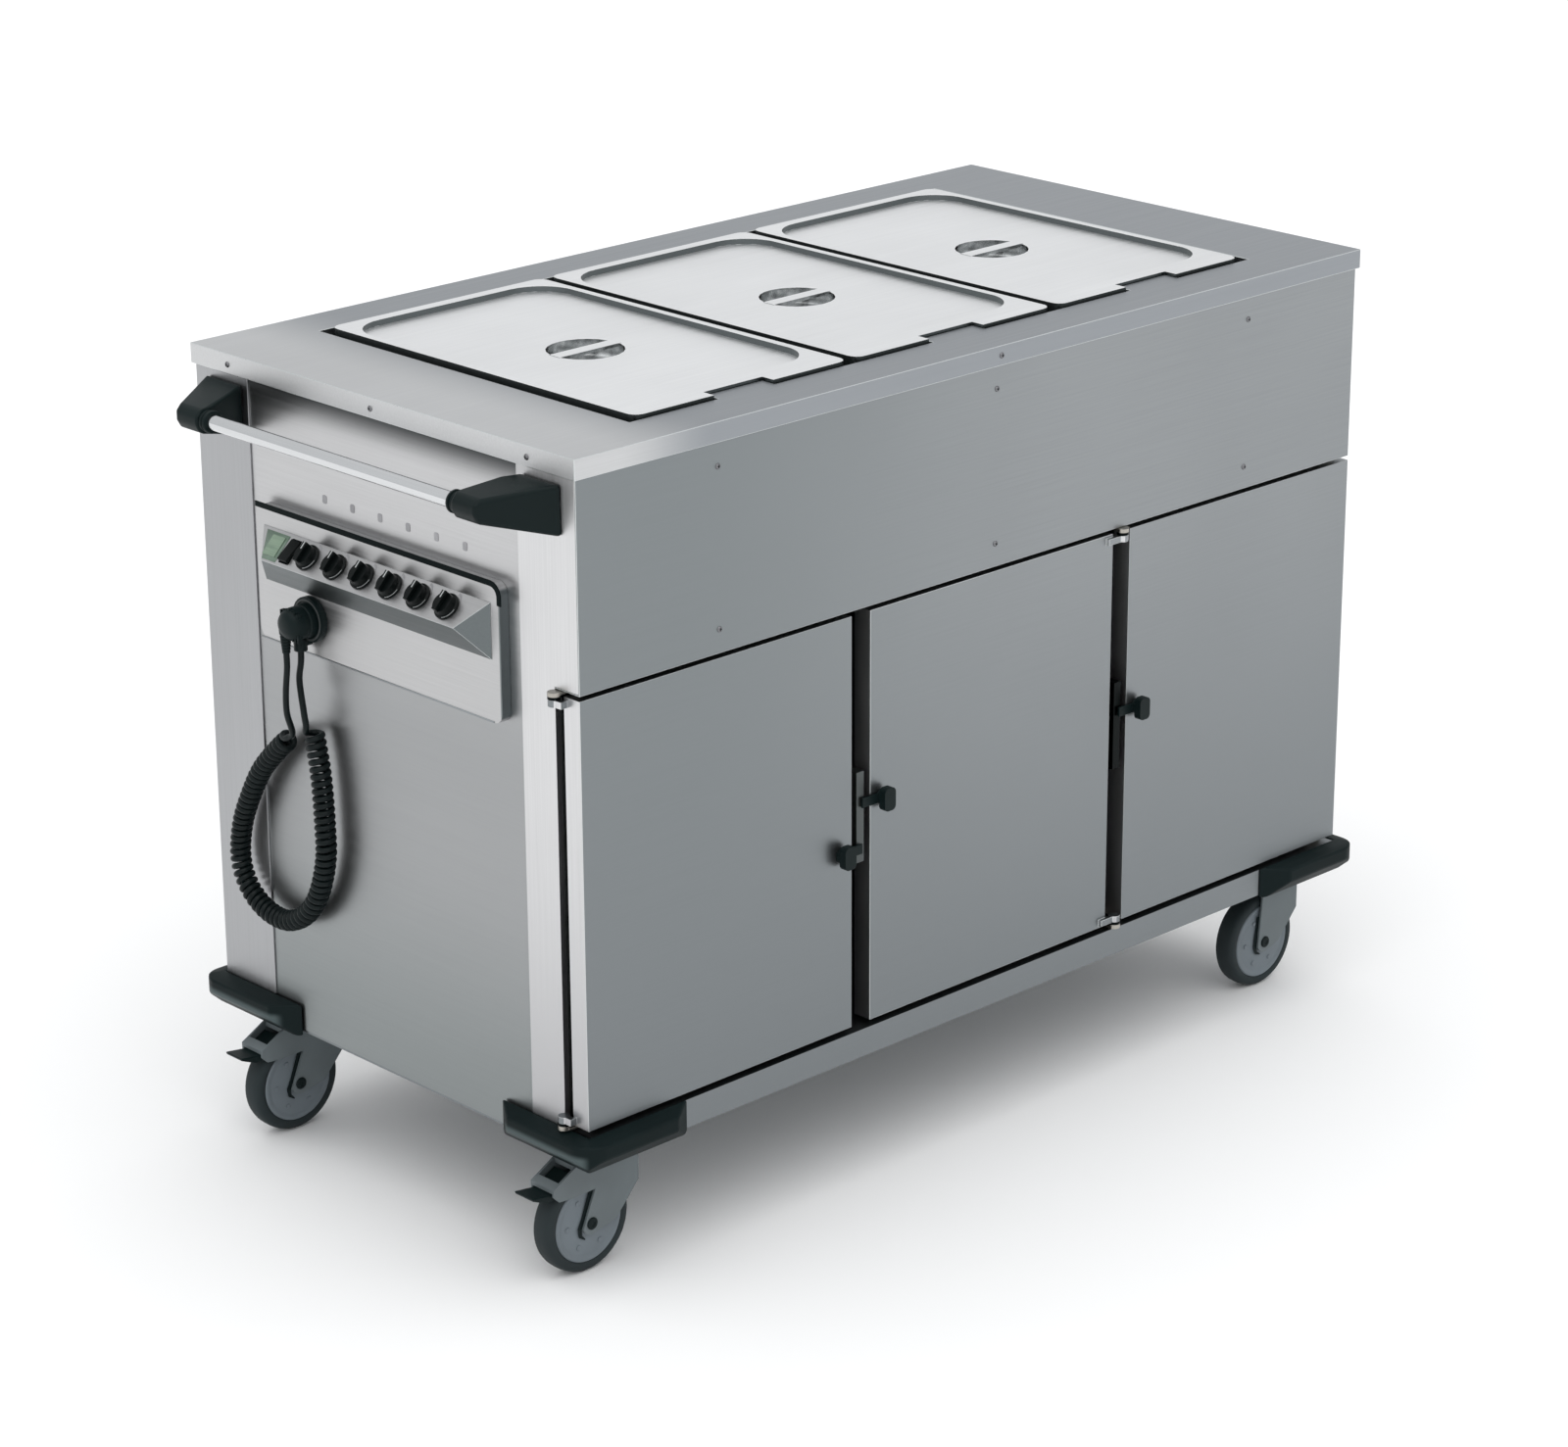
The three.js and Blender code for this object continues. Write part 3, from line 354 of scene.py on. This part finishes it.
def finish_piece(name, bm, mat, body, smooth=35):
    """Makes a piece that rides on a body. Edges sharper than smooth degrees stay crisp."""
    bmesh.ops.recalc_face_normals(bm, faces=bm.faces)
    mesh = bpy.data.meshes.new(name)
    bm.to_mesh(mesh)
    bm.free()
    obj = bpy.data.objects.new(name, mesh)
    scene.collection.objects.link(obj)
    paint(obj, mat)
    set_sharp(obj, smooth)
    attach(obj, body)
    return obj


def dress(obj, mat, bevel, segments=2, smooth=30):
    """Material and rounded edges for a CAD node. Its flat faces stay evenly shaded."""
    paint(obj, mat)
    weld = obj.modifiers.new("weld", "WELD")
    weld.merge_threshold = 0.02 * MM
    flat = obj.modifiers.new("flat", "DECIMATE")
    flat.decimate_type = "DISSOLVE"
    flat.angle_limit = math.radians(1)
    flat.delimit = {"MATERIAL"}
    if not bevel:
        set_sharp(obj, smooth)
        return
    b = obj.modifiers.new("bevel", "BEVEL")
    b.width = bevel
    b.segments = segments
    b.limit_method = "ANGLE"
    b.angle_limit = math.radians(smooth)
    b.use_clamp_overlap = True
    level = obj.modifiers.new("level", "WEIGHTED_NORMAL")
    level.weight = 100


def paint_edge_highlights(obj):
    """Painted highlights: the rounded edges take a brighter steel than the faces."""
    obj.data.materials.append(EDGE_HIGHLIGHT)
    obj.modifiers["bevel"].material = len(obj.data.materials) - 1


def set_sharp(obj, degrees):
    """Edges sharper than the limit stay crisp."""
    bm = bmesh.new()
    bm.from_mesh(obj.data)
    limit = math.radians(degrees)
    sharp = [len(e.link_faces) != 2 or e.calc_face_angle(0) > limit for e in bm.edges]
    bm.free()
    for edge, is_sharp in zip(obj.data.edges, sharp):
        edge.use_edge_sharp = is_sharp


def in_mm(points):
    """Points written in millimetres, as metres."""
    return [tuple(v * MM for v in p) for p in points]


def box_into(bm, lo, hi):
    for v in bmesh.ops.create_cube(bm, size=1)["verts"]:
        v.co = Vector([(lo[i] + hi[i]) / 2 + v.co[i] * (hi[i] - lo[i]) for i in range(3)])


NO_RADIUS = 1e-7
SAME_PLACE = 1e-6


def lathe_into(bm, profile, segments=48, place=None):
    """A profile of (radius, height) points turned about Z. Points on the axis close the end."""
    rings = []
    turn = [2 * math.pi * i / segments for i in range(segments)]
    for r, z in profile:
        if r < NO_RADIUS:
            rings.append([bm.verts.new((0, 0, z))])
        else:
            rings.append([bm.verts.new((r * math.cos(t), r * math.sin(t), z)) for t in turn])
    for a, b in zip(rings, rings[1:]):
        for i in range(segments):
            j = (i + 1) % segments
            quad = [a[i % len(a)], a[j % len(a)], b[j % len(b)], b[i % len(b)]]
            face = list(dict.fromkeys(quad))
            if len(face) > 2:
                bm.faces.new(face)
    if profile[0] == profile[-1]:
        bmesh.ops.remove_doubles(bm, verts=bm.verts, dist=SAME_PLACE)
    if place:
        verts = [v for ring in rings for v in ring if v.is_valid]
        bmesh.ops.transform(bm, matrix=place, verts=verts)


def prism_into(bm, outline, thickness, place=None):
    """A flat outline of (x, y) points, raised by a thickness along Z."""
    low = [bm.verts.new((x, y, 0)) for x, y in outline]
    high = [bm.verts.new((x, y, thickness)) for x, y in outline]
    bm.faces.new(low[::-1])
    bm.faces.new(high)
    n = len(outline)
    for i in range(n):
        bm.faces.new([low[i], low[(i + 1) % n], high[(i + 1) % n], high[i]])
    if place:
        bmesh.ops.transform(bm, matrix=place, verts=low + high)


def axes_matrix(origin, x, y, z):
    m = Matrix((x, y, z)).transposed().to_4x4()
    m.translation = origin
    return m


X, Y, Z = Vector((1, 0, 0)), Vector((0, 1, 0)), Vector((0, 0, 1))


def facing(origin, normal, up):
    """Local Z along the normal, local Y along up."""
    return axes_matrix(origin, up.cross(normal), up, normal)


def arc(cx, cy, r, start, end, n):
    return [
        (cx + r * math.cos(math.radians(start + (end - start) * i / n)),
         cy + r * math.sin(math.radians(start + (end - start) * i / n)))
        for i in range(n + 1)
    ]


def rounded(w, h, r, n=6):
    return (
        arc(w / 2 - r, h / 2 - r, r, 0, 90, n)
        + arc(-w / 2 + r, h / 2 - r, r, 90, 180, n)
        + arc(-w / 2 + r, -h / 2 + r, r, 180, 270, n)
        + arc(w / 2 - r, -h / 2 + r, r, 270, 360, n)
    )


# ---------------------------------------------------------------- cord
CORD_R = 3.8 * MM
COIL_R = 9.15 * MM  # from the coil's middle line to the middle of the flex
PITCH = 8.8 * MM
TURN_POINTS = 64  # steps along the coil for each turn
SPACING = 3.5 * MM  # between the points of the finished cord
CURVE_STEPS = 24  # points on a curve from one given point to the next
LEAD = 13 * MM  # how far each end of the coil takes to reach its full turns
COIL_X = -664
# y and z of the coil's middle line, from the gland's tail round to the plug's tail, in mm.
COIL = [
    (117, 578), (105, 518), (101, 451), (103, 410), (119, 363), (145, 331), (182, 313),
    (222, 316), (253, 336), (267, 368), (261, 412), (243, 452), (216, 495), (178, 533),
    (154, 552),
]
GLAND = (-670.3, 124, 665.7)  # where the cord leaves the trolley, in mm
NECK = (-689.6, 126, 666.7)  # where it enters the plug
GLAND_TAIL = [(0, 0, 0), (0, 1, -15), (0.5, 6, -38)]  # from the gland, in mm
PLUG_TAIL = [(6, 12, -78), (2, 7, -50), (0, 0, -18), (0, 0, 0)]  # from the plug's neck


def catmull(points):
    """Points on a smooth curve through the given ones."""
    pts = [2 * points[0] - points[1], *points, 2 * points[-1] - points[-2]]
    out = []
    for p0, p1, p2, p3 in zip(pts, pts[1:], pts[2:], pts[3:]):
        for k in range(CURVE_STEPS):
            t = k / CURVE_STEPS
            a = 2 * p1 + (p2 - p0) * t + (2 * p0 - 5 * p1 + 4 * p2 - p3) * t * t
            out.append((a + (3 * p1 - p0 - 3 * p2 + p3) * t ** 3) / 2)
    return out + [points[-1]]


def even(points, step):
    """The same line with points a fixed distance apart."""
    lengths = [0.0]
    for a, b in zip(points, points[1:]):
        lengths.append(lengths[-1] + (b - a).length)
    n = max(2, round(lengths[-1] / step))
    out, k = [], 0
    for i in range(n + 1):
        d = lengths[-1] * i / n
        while k < len(points) - 2 and lengths[k + 1] < d:
            k += 1
        f = (d - lengths[k]) / (lengths[k + 1] - lengths[k])
        out.append(points[k].lerp(points[k + 1], f))
    return out


def coil_points():
    """The coil's points and its directions at both ends. Over LEAD its turns open, so that the
    flex leaves each end of it along its side."""
    step = PITCH / TURN_POINTS
    axis = even(catmull([at(COIL_X, y, z) for y, z in COIL]), step)
    length = step * (len(axis) - 1)
    lean = math.atan(2 * math.pi * COIL_R / PITCH)
    phases = [0.0]
    for i in range(len(axis) - 1):
        along = (i + 0.5) * step
        slope = math.tan(lean * min(1, along / LEAD, (length - along) / LEAD))
        phases.append(phases[-1] + slope * step / COIL_R)
    turns = phases[-1] / (2 * math.pi)
    out = []
    for i, (p, phase) in enumerate(zip(axis, phases)):
        tangent = (axis[min(i + 1, len(axis) - 1)] - axis[max(i - 1, 0)]).normalized()
        angle = phase * round(turns) / turns
        out.append(p - COIL_R * (math.cos(angle) * X + math.sin(angle) * tangent.cross(X)))
    return out, (axis[1] - axis[0]).normalized(), (axis[-1] - axis[-2]).normalized()


def cord_points():
    """The whole cord: the gland's tail, the coil and the plug's tail, evenly spaced."""
    coil, way_in, way_out = coil_points()
    gland, neck = at(*GLAND), at(*NECK)
    first = [gland + Vector(d) * MM for d in GLAND_TAIL]
    first += [coil[0] - way_in * 16 * MM, coil[0]]
    last = [coil[-1], coil[-1] + way_out * 14 * MM]
    last += [neck + Vector(d) * MM for d in PLUG_TAIL]
    line = catmull(first)[:-1] + coil + catmull(last)[1:]
    return even(line, SPACING)


def make_cord():
    points = cord_points()
    curve = bpy.data.curves.new("cord", "CURVE")
    curve.dimensions = "3D"
    curve.bevel_depth = CORD_R
    curve.bevel_resolution = 3
    curve.use_fill_caps = True
    spline = curve.splines.new("POLY")
    spline.points.add(len(points) - 1)
    for sp, p in zip(spline.points, points):
        sp.co = (*p, 1)
    spline.use_smooth = True
    curve.materials.append(CORD)
    cord = bpy.data.objects.new("cord", curve)
    scene.collection.objects.link(cord)
    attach(cord, "carcass")
    length = sum((b - a).length for a, b in zip(points, points[1:]))
    return cord, length


cord, cord_length = make_cord()
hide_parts("cord_coil", "cord_tail_gland", "cord_tail_plug")

# ---------------------------------------------------------------- plug and socket
# Radius and height in mm, from the socket outwards.
PLUG_PROFILE = [
    (0, 0), (19.4, 0), (20, 0.6), (20, 8), (18.8, 9), (18.8, 12), (19.6, 13), (19.4, 20), (17.5, 27),
    (14, 31.5), (8, 33.6), (0, 34),
]
PLUG_DEPTH = 34  # of the profile, which is stretched to the depth of the CAD plug
RIB_PITCH = 5


def plug_sleeve():
    """The profile of the ribbed sleeve on the cord, widening upwards."""
    sleeve = [(0, 0), (4.6, 0)]
    for k in range(6):
        r, h = 4.8 + 0.35 * k, 3.6 * k
        sleeve += [(r, h + 0.4), (r, h + 2.6), (r - 0.7, h + 2.9), (r - 0.7, h + 3.7)]
    return sleeve + [(7.2, 23), (7.5, 28), (0, 28)]


def make_plug():
    """A plug with a ribbed grip, standing out of its parking socket, its cord leaving downwards."""
    lo, hi = span("plug")
    y, z = (lo.y + hi.y) / 2, hi.z - 20 * MM
    bm = bmesh.new()
    stretch = (hi.x - lo.x) / PLUG_DEPTH
    body = [(r * MM, h * stretch) for r, h in PLUG_PROFILE]
    lathe_into(bm, body, 48, facing(Vector((hi.x, y, z)), -X, Z))
    for k in range(-3, 4):
        rib_y = y + k * RIB_PITCH * MM
        top = z + (19.3 - 1.3 * abs(k)) * MM
        box_into(bm, (lo.x + 8 * MM, rib_y - MM, z - 19 * MM), (hi.x - 20 * MM, rib_y + MM, top))
    foot = at(*NECK) + 0.3 * MM * Z
    lathe_into(bm, in_mm(plug_sleeve()), 32, Matrix.Translation(foot))
    plug = finish_piece("plug_body", bm, BLACK, "carcass")
    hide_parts("plug")
    return plug


plug = make_plug()

holder_lo, holder_hi = span("plug_holder")
holder_face = Vector((holder_hi.x - 7.9 * MM, (holder_lo.y + holder_hi.y) / 2, holder_hi.z - 27 * MM))
bm = bmesh.new()
ring = [(22.6, 0), (24.4, 0), (24.8, 0.5), (24.4, 1.2), (22.6, 1.2), (22.2, 0.5), (22.6, 0)]
lathe_into(bm, in_mm(ring), 48, facing(holder_face, -X, Z))
finish_piece("holder_ring", bm, RING, "carcass", smooth=50)

# ---------------------------------------------------------------- sheet metal
STEEL_NODES = {
    "worktop": (WORKTOP, 1.0),
    "far_end_panel": (FRONT, 0.5),
    "back_panel": (FRONT, 0.5),
    "front_apron": (FRONT, 0.5),
    "base_frame": (FRONT, 0.5),
    "control_end_panel": (CONTROL, 0.4),
    "post_front": (POST, 0.6),
    "post_back": (POST_BACK, 0.6),
    "control_cover": (COVER, 0.5),
    "fascia": (COVER, 0.7),
    "well_1": (WELL, 0.5),
    "well_2": (WELL, 0.5),
    "well_3": (WELL, 0.5),
    "heating_mat": (INNER, 0.3),
    "cupboard_ceiling": (INNER, 0.3),
    "partition_1": (PARTITION, 0.4),
    "partition_2": (PARTITION, 0.4),
    "hinge_strap_1": (HINGE, 0.4),
    "hinge_strap_2": (HINGE, 0.4),
    "hinge_strap_3": (HINGE, 0.4),
    "latch_keeper": (KEEPER, 0.4),
    "handle_bar": (BAR, 0),
    "handle_bracket_front": (BLACK, 4.0),
    "handle_bracket_back": (BLACK, 4.0),
    "pilot_window": (GREEN, 0.5),
    "main_rocker": (KNOB, 0.6),
    "plug_holder": (BLACK, 0.8),
}
for name, (mat, width) in STEEL_NODES.items():
    dress(nodes[name], mat, bevel=width * MM, segments=3 if width >= 1 else 2)
for i in (1, 2, 3):
    dress(nodes[f"lid_{i}"], LID, bevel=1.4 * MM, segments=3)
    dress(nodes[f"door_{i}"], FRONT, bevel=1.2 * MM, segments=3)
    dress(nodes[f"latch_{i}"], BLACK, bevel=1.0 * MM, segments=3)


def second_finish(obj, mat, chosen):
    """Gives another finish to the faces for which chosen(centre, normal) is true."""
    obj.data.materials.append(mat)
    index = len(obj.data.materials) - 1
    turn = obj.matrix_world.to_3x3()
    for p in obj.data.polygons:
        if chosen(obj.matrix_world @ p.center, turn @ p.normal):
            p.material_index = index


RIM_EDGE = 3 * MM  # the turned-down outside of a lid lies within this of its box
DISH_R = 47 * MM
DISH_WALL_Z = 977 * MM  # the bowl is polished below this, and the grip's sides above it
for i in (1, 2, 3):
    lo, hi = span(f"lid_{i}")
    mid = (lo + hi) / 2

    def from_edge(c):
        return min(c.x - lo.x, hi.x - c.x, c.y - lo.y, hi.y - c.y)

    def in_dish(c):
        return math.hypot(c.x - mid.x, c.y - mid.y) < DISH_R and c.z < hi.z - 3 * MM

    def is_side(c, n):
        return abs(n.z) < 0.5 and from_edge(c) < RIM_EDGE

    def is_wall(c, n):
        return abs(n.z) < 0.97 and from_edge(c) > RIM_EDGE and not in_dish(c)

    def is_bowl(c, n):
        return in_dish(c) and (c.z < DISH_WALL_Z or abs(n.z) < 0.5)

    lid = nodes[f"lid_{i}"]
    second_finish(lid, LID_SIDE_SHADE, is_side)
    second_finish(lid, LID_WALL_SHADE, is_wall)
    second_finish(lid, dish_steel(i, mid), is_bowl)
    # Painted highlight: each door's ends, which face along the body, take the lighter post steel.
    second_finish(nodes[f"door_{i}"], POST, lambda c, n: abs(n.x) > 0.5 and c.y < FACE_Y + 30 * MM)
# Painted shade: the fascia's underside and ends take a darker copy of its steel.
second_finish(nodes["fascia"], FASCIA_SHADE, lambda c, n: n.z < -0.1 or abs(n.y) > 0.5)
# Painted highlights along the rounded edges of these parts.
for name in ("worktop", "front_apron", "fascia", "door_1", "door_2", "door_3"):
    paint_edge_highlights(nodes[name])
for name, node in nodes.items():
    if name.startswith("bumper"):
        dress(node, BUMPER, bevel=3.0 * MM, segments=3)
    if name.startswith("castor_fork"):
        dress(node, CASTOR, bevel=0.8 * MM)
    if name.startswith("brake_pedal"):
        dress(node, BLACK, bevel=1.5 * MM, segments=3)
    if name.startswith("knob"):
        dress(node, KNOB, bevel=0.6 * MM)

# ---------------------------------------------------------------- wheels and castors
TYRE_SECTION = [
    (47.5, 11), (49.5, 13.2), (51, 14.2), (55, 14.6), (58.5, 13.6), (61, 11), (62.2, 7), (62.5, 2.5),
]
HUB_SECTION = [
    (0, 15), (9, 15), (10, 14.4), (20, 14.2), (40, 13.6), (42.5, 13.6), (44, 14.6), (48, 14.6), (49.2, 13.4),
    (49.2, 11),
]
HUB_PIN = [(0, 14.2), (3.2, 14.2), (3.0, 14.9), (1.6, 15.3), (0, 15.3)]
PIN_CIRCLE = 32
AXLE_CAP = [(0, 0), (7.5, 0), (7.5, 1.2), (6.4, 2.2), (3.4, 2.4), (3.0, 1.6), (0, 1.6)]
# Rows of x from the kingpin, height and width, in mm, down a dark comma in a fork's cheek, a painted shadow
# of the fork's leg on the wheel's disc.
COMMA_SWIVEL = [
    (-32, 103, 6), (-38, 88, 7), (-45, 70, 6.5), (-51.5, 58, 5.5), (-50.5, 49, 4.5), (-44, 43.5, 1.5),
]
COMMA_FIXED = [
    (-36, 99, 5), (-37.5, 82, 6), (-40.5, 66, 6), (-41.5, 57, 5.5), (-38.5, 49, 4.5), (-31, 45.5, 1.5),
]
KINGPIN_SWIVEL = 36  # from the axle to the kingpin
KINGPIN_FIXED = 26
CHEEK_Y = 16.1  # middle of a comma, from the wheel's middle plane
CAP_Y = 19.9  # foot of an axle cap


def both_sides(section):
    """A half section in mm, given as (radius, offset), with its mirror image, closed at the ends."""
    return in_mm([(r, -z) for r, z in section] + section[::-1])


def ribbon(points):
    """The outline of a band of changing width, from (x, z, width) rows."""
    left, right = [], []
    for i, (x, z, w) in enumerate(points):
        a, b = points[max(i - 1, 0)], points[min(i + 1, len(points) - 1)]
        dx, dz = b[0] - a[0], b[1] - a[1]
        half = w / 2 / math.hypot(dx, dz)
        left.append((x - dz * half, z + dx * half))
        right.append((x + dz * half, z - dx * half))
    return in_mm(left + right[::-1])


def make_wheel(name, centre):
    """A rubber tyre round a grey hub with six small pins on one side's disc."""
    turned = facing(centre, -Y, Z)
    bm = bmesh.new()
    section = both_sides(TYRE_SECTION)
    lathe_into(bm, section + section[:1], 72, turned)
    tyre = finish_piece(f"tyre_{name}", bm, TYRE, f"wheel_{name}", smooth=50)
    bm = bmesh.new()
    lathe_into(bm, both_sides(HUB_SECTION), 72, turned)
    out = Matrix.Translation(PIN_CIRCLE * MM * X)
    for k in range(6):
        lathe_into(bm, in_mm(HUB_PIN), 16, turned @ Matrix.Rotation(math.radians(60 * k), 4, "Z") @ out)
    finish_piece(f"hub_{name}", bm, DISC, f"wheel_{name}")
    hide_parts(f"wheel_{name}")


def make_castor_shadow_and_caps(name, centre):
    """The dark comma, a painted shadow of the fork's leg, and the axle cap on both cheeks of a fork."""
    fixed = "right" in name
    kingpin = centre.x + (KINGPIN_FIXED if fixed else KINGPIN_SWIVEL) * MM
    bm = bmesh.new()
    for side in (-1, 1):
        cheek = Vector((kingpin, centre.y + (side * CHEEK_Y + 0.5) * MM, 0))
        comma = COMMA_FIXED if fixed else COMMA_SWIVEL
        prism_into(bm, ribbon(comma), 1.0 * MM, axes_matrix(cheek, X, Z, -Y))
        cap = centre + side * CAP_Y * MM * Y
        lathe_into(bm, in_mm(AXLE_CAP), 24, facing(cap, side * Y, Z))
    body = "carcass" if fixed else f"castor_{name}"
    finish_piece(f"castor_shadow_and_caps_{name}", bm, BLACK, body)


for name in ("front_left", "back_left", "front_right", "back_right"):
    lo, hi = span(f"wheel_{name}")
    make_wheel(name, (lo + hi) / 2)
    make_castor_shadow_and_caps(name, (lo + hi) / 2)

# ---------------------------------------------------------------- console details
SLOPE = math.radians(45.97)
SLOPE_X = Vector((math.cos(SLOPE), 0, math.sin(SLOPE)))
SLOPE_N = Vector((-math.sin(SLOPE), 0, math.cos(SLOPE)))
SLOPE_MIDDLE = (-671.8, 782)  # x and z of the middle of the sloping face
DIAL = [(21.0 * math.cos(t), 21.0 * math.sin(t)) for t in (-0.32, -0.55)]  # outer end of a dial's wedge
POINTER = [(3, -0.7), (12.1, -0.7), (12.1, 0.7), (3, 0.7)]


def on_slope(y, lift=0.0):
    """The frame of the sloping face at a y in millimetres, lifted off it by some millimetres."""
    x, z = SLOPE_MIDDLE
    return axes_matrix(at(x, y, z) + lift * MM * SLOPE_N, SLOPE_X, Y, SLOPE_N)


def middle_y(name):
    lo, hi = span(name)
    return (lo.y + hi.y) / 2 / MM


for i in range(1, 7):
    y = middle_y(f"knob_{i}")
    bm = bmesh.new()
    # The arc on the lower side of the skirt is a painted highlight; the pointer is a white line on the grip.
    skirt_highlight = arc(0, 0, 13.9, 196, 266, 14) + arc(0, 0, 15.3, 266, 196, 14)
    prism_into(bm, in_mm(skirt_highlight), 0.5 * MM, on_slope(y, 2.55))
    prism_into(bm, in_mm(POINTER), 0.4 * MM, on_slope(y, 16.4))
    finish_piece(f"knob_pointer_and_highlight_{i}", bm, WHITE, f"knob_{i}")
    bm = bmesh.new()
    prism_into(bm, in_mm(arc(0, 0, 18.0, -70, -18, 10) + DIAL), 0.25 * MM, on_slope(y, 0.05))
    finish_piece(f"knob_scale_{i}", bm, MARK, "carcass")

# The lens stands on a tinted plate that fills the end of the slope.
bm = bmesh.new()
plate = in_mm([(17, -15), (17, 27), (-18, 9), (-18, -15)])
prism_into(bm, plate, 0.5 * MM, on_slope(middle_y("pilot_window")))
finish_piece("pilot_plate", bm, PLATE, "carcass")

COVER_LOW, COVER_HIGH = cover_lo.z / MM, cover_hi.z / MM
COVER_Y = cover_hi.y / MM
CORNER = 14
COVER_FACE = axes_matrix(at(-657, 0, 0), -Y, Z, -X)  # local x runs towards the door side


def strip(points, width, depth, name, mat):
    """A narrow strip on the cover's face, along (y, z) points."""
    bm = bmesh.new()
    prism_into(bm, ribbon([(-y, z, width) for y, z in points]), depth * MM, COVER_FACE)
    finish_piece(name, bm, mat, "carcass")


# A dark strip along the cover's top edge and down round its corner.
corner = []
for degrees in (0, 20, 40, 60, 80, 90):
    t = math.radians(degrees)
    y = -COVER_Y + CORNER - CORNER * math.sin(t)
    corner.append((y, COVER_HIGH - CORNER + CORNER * math.cos(t) - 0.6))
top_strip = [(COVER_Y - 1, COVER_HIGH - 0.6), *corner, (-COVER_Y, COVER_HIGH - 24)]
strip(top_strip, 6.4, 1.4, "cover_top_strip", DARK)
# Painted shadow: a thin grey line along the cover's lower edge.
under_shadow = [(COVER_Y - 1, COVER_LOW + 0.8), (-COVER_Y + CORNER, COVER_LOW + 0.8)]
strip(under_shadow, 1.8, 0.6, "cover_shadow_line", EDGE)

LABEL_SPOTS = (102, 52, 3, -46, -95, -144)
bm = bmesh.new()
for y in LABEL_SPOTS:
    prism_into(bm, in_mm(rounded(7.5, 10, 2.4, 4)), 0.5 * MM, axes_matrix(at(-643.9, y, 845), -Y, Z, -X))
finish_piece("knob_labels", bm, MARK, "carcass")

# ---------------------------------------------------------------- screws
SCREW_SPOTS = [(x, -331, z, -Y) for x in (-440, 0, 443) for z in (933, 746)]
SCREW_SPOTS += [(3, -335, 973, -Y)] + [(-650, y, 972, -X) for y in (265, 6, -258)]
SCREW_SPOTS += [(x, 331, z, Y) for x in (-440, 0, 443) for z in (930, 250)]
SCREW_DOME = [(0, -0.5), (3.6, -0.5), (3.6, 0.3), (2.9, 1.2), (1.7, 1.8), (0, 2.0)]
bm, dark_crosses = bmesh.new(), bmesh.new()
for x, y, z, n in SCREW_SPOTS:
    place = facing(at(x, y, z), n, Z)
    lathe_into(bm, in_mm(SCREW_DOME), 20, place)
    # The cross recesses are not cut: dark crosses on each head stand for the shade in them.
    for u, v in ((1.7, 0.4), (0.4, 1.7)):
        prism_into(dark_crosses, in_mm([(-u, -v), (u, -v), (u, v), (-u, v)]), 2.1 * MM, place)
finish_piece("screws", bm, SCREW, "carcass", smooth=40)
finish_piece("screw_cross_shade", dark_crosses, DARK, "carcass", smooth=40)

# ---------------------------------------------------------------- handle collars
COLLAR = [
    (8.9, 0), (12.4, 0), (13.2, 1.2), (13.2, 3.4), (11.4, 4.2), (11.4, 6.4), (12.6, 7.2), (12.6, 10.2),
    (11.8, 11.2), (8.9, 11.2), (8.9, 0),
]
COLLAR_Y = 212
bar_lo, bar_hi = span("handle_bar")
bar_mid = (bar_lo + bar_hi) / 2
for name, sign in (("front", -1), ("back", 1)):
    bm = bmesh.new()
    foot = Vector((bar_mid.x, sign * COLLAR_Y * MM, bar_mid.z))
    lathe_into(bm, in_mm(COLLAR), 40, facing(foot, sign * Y, Z))
    finish_piece(f"handle_collar_{name}", bm, BLACK, "carcass")

# ---------------------------------------------------------------- floor and light
floor_mesh = bpy.data.meshes.new("floor")
FAR = 60
corners = [(-FAR, -FAR, 0), (FAR, -FAR, 0), (FAR, FAR, 0), (-FAR, FAR, 0)]
floor_mesh.from_pydata(corners, [], [(0, 1, 2, 3)])
floor = bpy.data.objects.new("floor", floor_mesh)
scene.collection.objects.link(floor)
floor_mat = Mat("floor_white", Base_Color=(0.92, 0.92, 0.92, 1), Roughness=0.9)
floor_mesh.materials.append(floor_mat.mat)

# An even sky: faintly blue up to thirty degrees above the horizon, and white overhead.
world = bpy.data.worlds.new("studio")
scene.world = world
world.use_nodes = True
tree = world.node_tree
direction = tree.nodes.new("ShaderNodeTexCoord").outputs["Generated"]
split = tree.nodes.new("ShaderNodeSeparateXYZ")
tree.links.new(direction, split.inputs[0])
band = tree.nodes.new("ShaderNodeValToRGB")
band.color_ramp.interpolation = "EASE"
low, high = band.color_ramp.elements
low.position = 0.52  # the sine of the elevation
low.color = (0.97, 0.985, 1, 1)
high.color = (1, 1, 1, 1)
tree.links.new(split.outputs["Z"], band.inputs["Fac"])
tree.links.new(band.outputs["Color"], tree.nodes["Background"].inputs["Color"])
tree.nodes["Background"].inputs["Strength"].default_value = 0.80


def sun(name, azimuth, elevation, width, strength):
    """A soft light at infinity, so that the floor is lit evenly. Azimuth as in the camera's."""
    light = bpy.data.lights.new(name, "SUN")
    light.angle = math.radians(width)
    light.energy = strength
    obj = bpy.data.objects.new(name, light)
    a, e = math.radians(azimuth), math.radians(elevation)
    source = Vector((math.sin(a) * math.cos(e), -math.cos(a) * math.cos(e), math.sin(e)))
    obj.rotation_euler = source.to_track_quat("Z", "Y").to_euler()
    scene.collection.objects.link(obj)


sun("overhead", -40, 74, 85, 1.5)
scene.view_settings.view_transform = "Standard"
